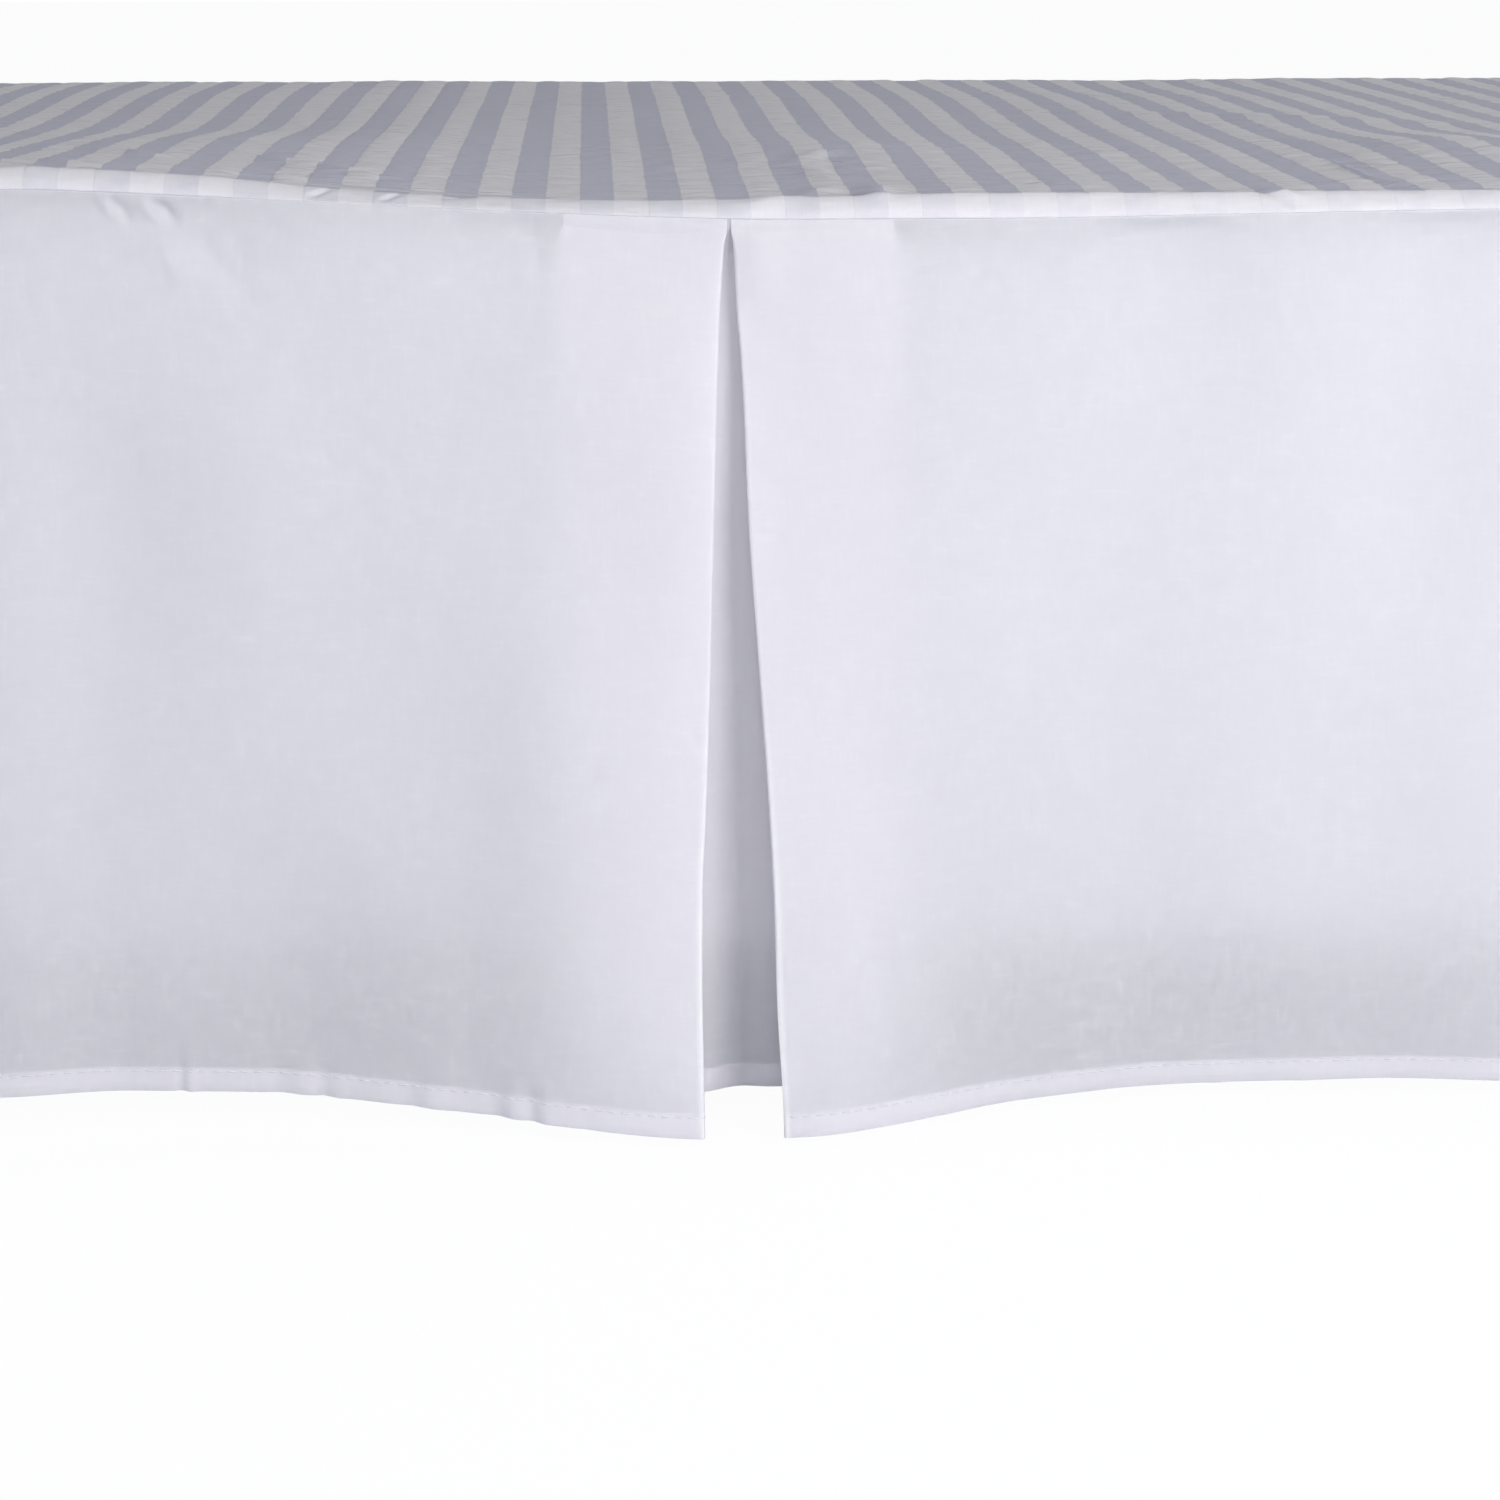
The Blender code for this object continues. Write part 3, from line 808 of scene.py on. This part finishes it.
def pleat_trace(sizes, share, mouth, flare, underlay):
    """Trace the whole pleat at one height, left to right, pressed flat just below the seam."""
    swing = share**FLARE_POWER
    press = min(1.0, 0.08 + max(0.0, share - 0.010) / 0.03)
    halves = []
    for side, sign in ((1, -1), (2, 1)):
        stand = float(smooth(mouth, share, side))
        hem = float(smooth(flare, sign * stand))
        rest = -UNDERLAY_DEPTH * press
        under = rest + (underlay[side - 1] - rest) * share**UNDERLAY_POWER
        trace = half_pleat(sizes, sizes.fold_radius * press, stand, hem * swing, under)
        trace[:, 0] *= sign
        halves.append(trace)
    left, right = halves[0], halves[1][::-1]
    part = np.linspace(0.0, 1.0, UNDERLAY_STEPS + 1)[1:-1, None]
    middle = left[-1] + (right[0] - left[-1]) * part
    middle[:, 1] += 0.0012 * np.sin(part[:, 0] * math.pi * 2) * share
    bend = min(1.0, share * 2.5)
    for place, width, rise in UNDERLAY_BENDS:
        middle[:, 1] += rise * bend * hump(middle[:, 0], place, width)
    return np.concatenate([left, middle, right])


@dataclass
class Side:
    """One side of the skirt: where it is, how its hem swings and how it is pleated."""

    turn: float
    half: float
    offset: float
    flare: tuple
    pleat: tuple = ()
    creases: tuple = ()
    swells: tuple = ()
    ripples: tuple = ()
    fine: tuple = ()
    seed: int = 1

    def facing(self):
        """Give the cosine and sine of the side's turn from the front."""
        angle = math.radians(self.turn)
        return math.cos(angle), math.sin(angle)

    def section(self, sizes, share):
        """Give (along, out, droop, face) across the panel at one share of the drop."""
        end = self.half - CORNER_RADIUS + CORNER_RADIUS * CORNER_WRAP
        swing = share**FLARE_POWER
        if not self.pleat:
            along = np.linspace(-end, end, round(2 * end / PANEL_STEP))
            out = smooth(self.flare, along) * swing
            return np.stack([along, out, along * 0 + 1, along * 0 + 1], axis=1)
        folds = pleat_trace(sizes, share, self.pleat[0], self.flare, self.pleat[1])
        faces = []
        for corner, sign in ((folds[0], -1), (folds[-1], 1)):
            zones = [
                (*sorted((end - sign * x0, end - sign * x1)), step) for x0, x1, step in self.fine
            ]
            part = spread(0.0, end, PANEL_STEP, zones) / end
            along = sign * end + (corner[0] - sign * end) * part[:-1]
            out = smooth(self.flare, along) * swing
            faces.append(np.stack([along, out, along * 0 + 1, along * 0 + 1], axis=1))
        folds = np.concatenate([folds, np.zeros((len(folds), 1))], axis=1)
        folds[:4, 3] = 1
        folds[-4:, 3] = 1
        return np.concatenate([faces[0], folds, faces[1][::-1]])


def panel_grid(sizes, side):
    """Work out a hanging panel, from its seam allowance down to the end of its turned hem."""
    drop = sizes.drop
    hem_start = 1 - sizes.hem_height / drop
    body = spread(0.0, drop * hem_start, ROW_STEP, side.fine and PANEL_ROWS_FINE) / drop
    hem = np.linspace(hem_start, 1.0, HEM_ROWS + 1)[1:]
    shares = np.concatenate([body, hem])
    sections = np.stack([side.section(sizes, share) for share in shares])
    along, out, droop, face = np.moveaxis(sections, 2, 0)
    share = shares[:, None]
    swing = np.where(droop > 0, smooth(side.flare, along), 0.0)
    fall = np.sqrt(drop**2 - swing**2)
    if side.pleat:
        fall = fall + CORNER_DROOP * droop * hump(along, 0.0, DROOP_WIDTH)
    down = share * fall
    relief = panel_relief(side, along, share * drop, drop)
    out = out + relief * face * np.clip(share * drop / SEAM_CALM, 0.0, 1.0)
    height = seam_height(along, side.turn == 0) - sizes.seam_gap / 2 - sizes.seam_round - down
    x, y = side_place(along, side.half, out)
    y = y - side.offset
    c, s = side.facing()
    points = np.stack([c * x - s * y, s * x + c * y, height], axis=2)
    step = np.linalg.norm(np.diff(points[len(body) // 2], axis=0), axis=1)
    length = np.concatenate([[0.0], np.cumsum(step)])
    cloth = np.stack(np.broadcast_arrays(length[None, :], -share * drop), axis=2)
    # Where the painted highlight brightens the pleat's pressed folds
    fold = painted_fold_highlight(side, shares, along, face)
    under = (np.abs(along[-1]) < UNDERLAY_EDGE) & (face[-1] < 1)
    points, cloth = add_seam_allowance(sizes, side, points, cloth)
    hem_row = len(points) - len(hem) - 1
    fold = np.concatenate([np.repeat(fold[:1], len(points) - len(fold), axis=0), fold])
    points, cloth = add_turned_hem(sizes, points, cloth)
    fold = np.concatenate([fold, np.repeat(fold[-1:], len(points) - len(fold), axis=0)])
    return points, cloth, fold, hem_row, under


def painted_fold_highlight(side, shares, along, face):
    """Mark the narrow strip along each fold of the pleat, where a painted highlight brightens the
    cloth.
    """
    if not side.pleat:
        return along * 0
    left = smooth(side.pleat[0], shares, 1)[:, None]
    right = smooth(side.pleat[0], shares, 2)[:, None]
    past = np.abs(along) - np.where(along < 0, left, right)
    strip = np.clip((FOLD_HIGHLIGHT_WIDTH - past) / FOLD_HIGHLIGHT_FADE, 0.0, 1.0) * face
    return strip * np.clip((shares[:, None] - 0.40) / 0.35, 0.2, 1.0)


def panel_relief(side, along, fallen, drop):
    """Give the small unevenness of a panel's face, out from its plain shape."""
    total = crease_field(side.creases, along, fallen) + swell_field(side.swells, along, fallen)
    total += slow_noise(along, fallen, 0.11, side.seed) * 0.0012
    near_hem = hump(fallen, drop, HEM_RIPPLE_REACH)
    for x, width, rise in side.ripples:
        total += rise * near_hem * hump(along, x, width)
    return total


def add_seam_allowance(sizes, side, points, cloth):
    """Roll the panel's upper edge in over the seam."""
    r = sizes.seam_round
    c, s = side.facing()
    inward = np.array([-s, c, 0.0])
    up = np.array([0.0, 0.0, 1.0])
    rows = [points[0] + inward * (r + SEAM_ALLOWANCE) + up * r]
    places = [cloth[0] + np.array([0.0, SEAM_ALLOWANCE + r * math.pi / 2])]
    for angle in np.radians([90, 68, 45, 22]):
        rows.append(points[0] + inward * r * (1 - math.cos(angle)) + up * r * math.sin(angle))
        places.append(cloth[0] + np.array([0.0, r * angle]))
    return np.concatenate([np.stack(rows), points]), np.concatenate([np.stack(places), cloth])


def grid_normals(points):
    """Give each grid point's unit normal, out of the cloth's face."""
    across = np.gradient(points, axis=1)
    down = np.gradient(points, axis=0)
    normal = np.cross(across, -down)
    return normal / np.maximum(np.linalg.norm(normal, axis=2, keepdims=True), 1e-12)


def add_turned_hem(sizes, points, cloth):
    """Turn the lower edge up behind the panel, and its raw edge in between the two."""
    r = sizes.hem_round
    normal = grid_normals(points)
    rows = HEM_ROWS + 1
    bottom = points[-1]
    down = bottom - points[-2]
    down = down / np.linalg.norm(down, axis=1, keepdims=True)
    out = normal[-1]
    new = []
    for angle in np.radians([45, 90, 135]):
        new.append(bottom - out * r * (1 - math.cos(angle)) + down * r * math.sin(angle))
    for k in range(rows):
        new.append(points[-1 - k] - normal[-1 - k] * 2 * r)
    top = points[-rows]
    rise = -down
    for angle in np.radians([60, 120]):
        inward = 2 * r - r / 2 * (1 - math.cos(angle))
        new.append(top - out * inward + rise * r / 2 * math.sin(angle))
    for k in range(rows - 2):
        new.append(points[-rows + k] - normal[-rows + k] * r)
    new = np.stack(new)
    joined = np.concatenate([points, new])
    steps = np.linalg.norm(np.diff(joined[len(points) - 1:], axis=0), axis=2)
    fallen = cloth[-1, :, 1] - np.cumsum(steps, axis=0)
    extra = np.stack([np.broadcast_to(cloth[-1, :, 0], fallen.shape), fallen], axis=2)
    return joined, np.concatenate([cloth, extra])


def hem_stitches(name, sizes, points, row, under, material):
    """Sew short stitches along the hem's upper edge, each a small rounded bar on the cloth."""
    share = sizes.stitch_inset / (sizes.hem_height / HEM_ROWS)
    line = points[row] + (points[row + 1] - points[row]) * share
    normal = grid_normals(points)[row]
    step = np.linalg.norm(np.diff(line, axis=0), axis=1)
    length = np.concatenate([[0.0], np.cumsum(step)])
    rng = np.random.default_rng(21)
    count = int((length[-1] - 2 * STITCH_MARGIN) / sizes.stitch_pitch)
    verts, faces = [], []
    sides = 6
    for k in range(count):
        start = STITCH_MARGIN + k * sizes.stitch_pitch + rng.uniform(-0.0003, 0.0003)
        dash = sizes.stitch_length * rng.uniform(0.9, 1.1)
        places = start + dash * np.array([ring[0] for ring in STITCH_RINGS])
        middle = np.stack([np.interp(places, length, line[:, c]) for c in range(3)], axis=1)
        out = np.stack([np.interp(places, length, normal[:, c]) for c in range(3)], axis=1)
        along = middle[-1] - middle[0]
        hidden = np.interp(start, length, under.astype(float)) > 0
        if hidden or np.linalg.norm(along) < dash * 0.6:
            continue
        along = along / np.linalg.norm(along)
        wide = np.cross(out, along)
        base = len(verts)
        for ring, (_, size, sink) in enumerate(STITCH_RINGS):
            for j in range(sides):
                angle = 2 * math.pi * j / sides
                offset = wide[ring] * math.cos(angle) * size
                lifted = out[ring] * (math.sin(angle) * size * 0.8 + 0.5 - sink)
                verts.append(middle[ring] + (offset + lifted) * sizes.thread_radius)
        last = len(STITCH_RINGS) - 1
        for ring in range(last):
            for j in range(sides):
                n = (j + 1) % sides
                a = base + ring * sides
                faces.append((a + j, a + sides + j, a + sides + n, a + n))
        faces.append(tuple(base + j for j in range(sides)))
        faces.append(tuple(base + last * sides + j for j in reversed(range(sides))))
    mesh = bpy.data.meshes.new(name)
    mesh.from_pydata([tuple(vert) for vert in verts], [], faces)
    mesh.shade_smooth()
    return add_object(name, mesh, material)


def shared_material(name, make):
    """Give a material by name, making it the first time."""
    return bpy.data.materials.get(name) or make()


def add_panel(context, name, node, side):
    """Make a panel and its hem stitches, attach them to the root body and hide the part that they
    replace.
    """
    sizes = context.scene.skirt_sizes
    colours = context.scene.skirt_colours
    cloth = shared_material("white_cloth", lambda: white_cloth_finish(colours))
    thread = shared_material("sewing_thread", lambda: thread_finish(colours))
    points, places, fold, hem_row, under = panel_grid(sizes, side)
    panel = sheet_from_grid(name, points, places, cloth, fold)
    stitches = hem_stitches(f"{name}_stitches", sizes, points, hem_row, under, thread)
    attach(panel, "root")
    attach(stitches, "root")
    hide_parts(node)


def length_setting(name, description, default):
    """Declare a size in metres that a user may change."""
    return bpy.props.FloatProperty(
        name=name, description=description, default=default, unit="LENGTH"
    )


def colour_setting(name, description, default):
    """Declare a colour that a user may change."""
    return bpy.props.FloatVectorProperty(
        name=name, description=description, default=default, subtype="COLOR"
    )


class SkirtSizes(bpy.types.PropertyGroup):
    """The skirt's sizes."""

    drop: length_setting("Drop", "Seam to hem", 0.3556)
    hem_height: length_setting("Hem", "Height of the turned hem", 0.0095)
    pleat_return: length_setting("Pleat return", "Depth of each side of a pleat", 0.0635)
    fold_radius: length_setting("Fold radius", "Radius of a pressed fold", 0.0013)
    hem_round: length_setting("Hem radius", "Radius of the hem's lower fold", 0.00030)
    roll_length: length_setting("Roll", "Cloth between the deck's crest and its seam", 0.0140)
    seam_round: length_setting("Seam radius", "Radius of both edges at the seam", 0.00026)
    seam_gap: length_setting("Seam gap", "Gap between both edges at the seam", 0.00004)
    stripe_pitch: length_setting("Stripe pitch", "A dark and a light stripe", 0.0265)
    stripe_start: length_setting("Stripe start", "Left edge of a dark stripe", -0.0046)
    pucker_pitch: length_setting("Pucker pitch", "Between two puckers of a stripe", 0.025)
    dark_pucker_share: bpy.props.FloatProperty(
        name="Dark pucker share", description="How much the dark stripes pucker", default=0.8
    )
    pucker_line_pitch: length_setting("Pucker lines", "Between two fine lines of a stripe", 0.0078)
    pucker_rise: length_setting("Pucker rise", "Height of a pucker", 0.0016)
    crest_dip: length_setting("Crest dip", "Dip behind the fold along the deck's front", 0.0011)
    stitch_pitch: length_setting("Stitch pitch", "Between two stitches", 0.0054)
    stitch_length: length_setting("Stitch", "Length of a stitch that shows", 0.0037)
    stitch_inset: length_setting("Stitch inset", "Stitches under the hem's edge", 0.0014)
    thread_radius: length_setting("Thread radius", "Half the thread's width", 0.00027)


class SkirtColours(bpy.types.PropertyGroup):
    """The skirt's colours."""

    white: colour_setting("White cloth", "The panels", (0.940, 0.927, 0.946))
    glow: colour_setting("Glow", "Light through the panels", (0.940, 0.927, 0.950))
    sheer: bpy.props.FloatProperty(
        name="Sheer", description="Share of light that passes", default=0.54, min=0.0, max=1.0
    )
    stripe_light: colour_setting("Light stripe", "The deck's light stripe", (0.655, 0.641, 0.668))
    stripe_dark: colour_setting("Dark stripe", "The deck's dark stripe", (0.462, 0.466, 0.545))
    # Painted shade between two puckers
    valley_shade: colour_setting("Valley", "The cloth between two puckers", (0.20, 0.20, 0.235))
    # Painted light: the roll is paler than the stripes where it faces the lamps
    roll: colour_setting("Roll", "The deck cloth over its edge", (0.720, 0.706, 0.738))
    # How far the painted light on the roll pales its stripes
    painted_roll_light: bpy.props.FloatProperty(
        name="Roll fade", description="How much the stripes pale over the deck's edge", default=0.72
    )
    base: colour_setting("Base", "The base's cover", (0.56, 0.563, 0.600))
    wood: colour_setting("Feet", "The feet's wood", (0.36, 0.24, 0.14))
    thread: colour_setting("Thread", "The sewing thread", (0.72, 0.72, 0.77))


class SKIRT_OT_deck(bpy.types.Operator):
    """Add the striped deck cloth"""

    bl_idname = "skirt.deck"
    bl_label = "Add deck cloth"

    def execute(self, context):
        sizes = context.scene.skirt_sizes
        colours = context.scene.skirt_colours
        points, places = deck_grid(sizes)
        deck = sheet_from_grid("deck_cloth", points, places, deck_cloth_finish(sizes, colours))
        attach(deck, "root")
        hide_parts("deck")
        return {"FINISHED"}


class SKIRT_OT_front(bpy.types.Operator):
    """Add the front panel with its inverted pleat"""

    bl_idname = "skirt.front"
    bl_label = "Add front panel"

    def execute(self, context):
        side = Side(
            0, HALF_LENGTH, HALF_WIDTH, FRONT_FLARE, (FRONT_MOUTH, FRONT_UNDERLAY),
            creases=FRONT_CREASES, swells=FRONT_SWELLS, ripples=HEM_RIPPLES, fine=PANEL_FINE,
            seed=31,
        )
        add_panel(context, "front_cloth", "front_panel", side)
        return {"FINISHED"}


class SKIRT_OT_back(bpy.types.Operator):
    """Add the back panel with its inverted pleat"""

    bl_idname = "skirt.back"
    bl_label = "Add back panel"

    def execute(self, context):
        side = Side(180, HALF_LENGTH, HALF_WIDTH, BACK_FLARE, (BACK_MOUTH, BACK_UNDERLAY), seed=32)
        add_panel(context, "back_cloth", "back_panel", side)
        return {"FINISHED"}


class SKIRT_OT_ends(bpy.types.Operator):
    """Add the two plain end panels"""

    bl_idname = "skirt.ends"
    bl_label = "Add end panels"

    def execute(self, context):
        right = Side(90, HALF_WIDTH, HALF_LENGTH, RIGHT_FLARE, seed=33)
        left = Side(270, HALF_WIDTH, HALF_LENGTH, LEFT_FLARE, seed=34)
        add_panel(context, "right_end_cloth", "right_end_panel", right)
        add_panel(context, "left_end_cloth", "left_end_panel", left)
        return {"FINISHED"}


class SKIRT_OT_base(bpy.types.Operator):
    """Finish the base and its feet"""

    bl_idname = "skirt.base"
    bl_label = "Finish base and feet"

    def execute(self, context):
        colours = context.scene.skirt_colours
        cover = base_finish(colours)
        wood = wood_finish(colours)
        for name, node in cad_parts.items():
            if name == "base" or name.startswith("foot_"):
                node.data.materials.clear()
                node.data.materials.append(cover if name == "base" else wood)
        return {"FINISHED"}


class SKIRT_OT_stage(bpy.types.Operator):
    """Add the floor, the soft lights and the camera"""

    bl_idname = "skirt.stage"
    bl_label = "Add stage"

    def execute(self, context):
        add_floor()
        for light in LIGHTS:
            add_light(*light)
        add_world()
        add_camera()
        scene = context.scene
        scene.view_settings.view_transform = "Standard"
        scene.view_settings.look = "None"
        return {"FINISHED"}


# Where the lights look, and the lights. Name, place, size, power, colour
AIM = Vector((0.0, -HALF_WIDTH, 0.19))
LIGHTS = (
    ("key_light", (0.90, -1.95, 0.68), 0.7, 27.0, (1.0, 0.99, 0.98)),
    ("fill_light", (-0.50, -3.10, 1.70), 1.6, 33.0, (0.96, 0.98, 1.0)),
    ("left_back_light", (-2.20, 1.60, 0.60), 1.1, 30.0, (1.0, 1.0, 1.0)),
    ("right_back_light", (2.20, 1.60, 0.60), 1.1, 46.0, (1.0, 1.0, 1.0)),
)

# The floor's reach each way, its glow where the camera sees it, and the room's soft light
FLOOR_REACH = 12.0
FLOOR_GLOW = 1.06
ROOM_GLOW = 0.33

# The camera's place by the middle of the seam in metres, its turns in degrees and its lens
CAMERA_X = -0.0534
CAMERA_BEFORE = 1.258
CAMERA_ABOVE = 0.1285
CAMERA_DOWN = 15.14
CAMERA_TURN = -2.8
CAMERA_LENS = 77.6


def add_floor():
    """Lay a plain pale floor that stays near white in the picture."""
    finish = Finish("pale_floor")
    finish.set(Base_Color=(0.45, 0.468, 0.57, 1.0), Roughness=0.9)
    glow = finish.node("ShaderNodeEmission", {}, (1.0, 1.0, 1.0, 1.0), FLOOR_GLOW)
    seen = finish.node("ShaderNodeLightPath", out=0)
    finish.blend_shader(seen * 0.9, glow)
    mesh = bpy.data.meshes.new("floor")
    signs = ((-1, -1), (1, -1), (1, 1), (-1, 1))
    corners = [(FLOOR_REACH * x, FLOOR_REACH * y, 0.0) for x, y in signs]
    mesh.from_pydata(corners, [], [(0, 1, 2, 3)])
    floor = add_object("floor", mesh, finish.material)


def add_light(name, place, size, power, colour):
    """Add a soft square light that looks at the middle of the skirt's front."""
    light = bpy.data.lights.new(name, "AREA")
    light.shape = "SQUARE"
    light.size = size
    light.energy = power
    light.color = colour
    lamp = add_object(name, light)
    lamp.location = place
    lamp.rotation_euler = (AIM - Vector(place)).to_track_quat("-Z", "Y").to_euler()


def add_world():
    """Light the scene softly all round, before a white background."""
    world = bpy.data.worlds.new("white_room")
    bpy.context.scene.world = world
    world.use_nodes = True
    nodes = Nodes(world.node_tree)
    white = nodes.node("ShaderNodeBackground", {}, (1.0, 1.0, 1.0, 1.0), 1.0)
    soft = nodes.node("ShaderNodeBackground", {}, (0.935, 0.950, 1.0, 1.0), ROOM_GLOW)
    seen = nodes.node("ShaderNodeLightPath", out=0)
    mixed = nodes.node("ShaderNodeMixShader", {}, seen, soft, white)
    nodes.fill(world.node_tree.nodes["World Output"].inputs[0], mixed)


def add_camera():
    """Stand the camera where it sees the pleat in the middle of the front."""
    data = bpy.data.cameras.new("camera")
    data.sensor_width = 36.0
    data.lens = CAMERA_LENS
    data.clip_start = 0.05
    camera = add_object("camera", data)
    camera.location = (CAMERA_X, -HALF_WIDTH - CAMERA_BEFORE, SEAM_HEIGHT + CAMERA_ABOVE)
    camera.rotation_euler = (math.radians(90 - CAMERA_DOWN), 0.0, math.radians(CAMERA_TURN))
    bpy.context.scene.camera = camera


class SKIRT_PT_panel(bpy.types.Panel):
    """The skirt's sizes, colours and operators"""

    bl_idname = "SKIRT_PT_panel"
    bl_label = "Bed skirt"
    bl_space_type = "VIEW_3D"
    bl_region_type = "UI"
    bl_category = "Bed skirt"

    def draw(self, context):
        for group in (context.scene.skirt_sizes, context.scene.skirt_colours):
            box = self.layout.box()
            for key in group.__annotations__:
                box.prop(group, key)
        for operator in OPERATORS:
            self.layout.operator(operator.bl_idname)


OPERATORS = (
    SKIRT_OT_deck,
    SKIRT_OT_front,
    SKIRT_OT_back,
    SKIRT_OT_ends,
    SKIRT_OT_base,
    SKIRT_OT_stage,
)
CLASSES = (SkirtSizes, SkirtColours, *OPERATORS, SKIRT_PT_panel)


def register():
    """Register the classes and the settings."""
    for cls in CLASSES:
        bpy.utils.register_class(cls)
    bpy.types.Scene.skirt_sizes = bpy.props.PointerProperty(type=SkirtSizes)
    bpy.types.Scene.skirt_colours = bpy.props.PointerProperty(type=SkirtColours)


def unregister():
    """Take the settings and the classes away again."""
    del bpy.types.Scene.skirt_colours
    del bpy.types.Scene.skirt_sizes
    for cls in reversed(CLASSES):
        bpy.utils.unregister_class(cls)


def main():
    register()
    bpy.ops.skirt.deck()
    bpy.ops.skirt.front()
    bpy.ops.skirt.back()
    bpy.ops.skirt.ends()
    bpy.ops.skirt.base()
    bpy.ops.skirt.stage()


if __name__ == "__main__":
    main()
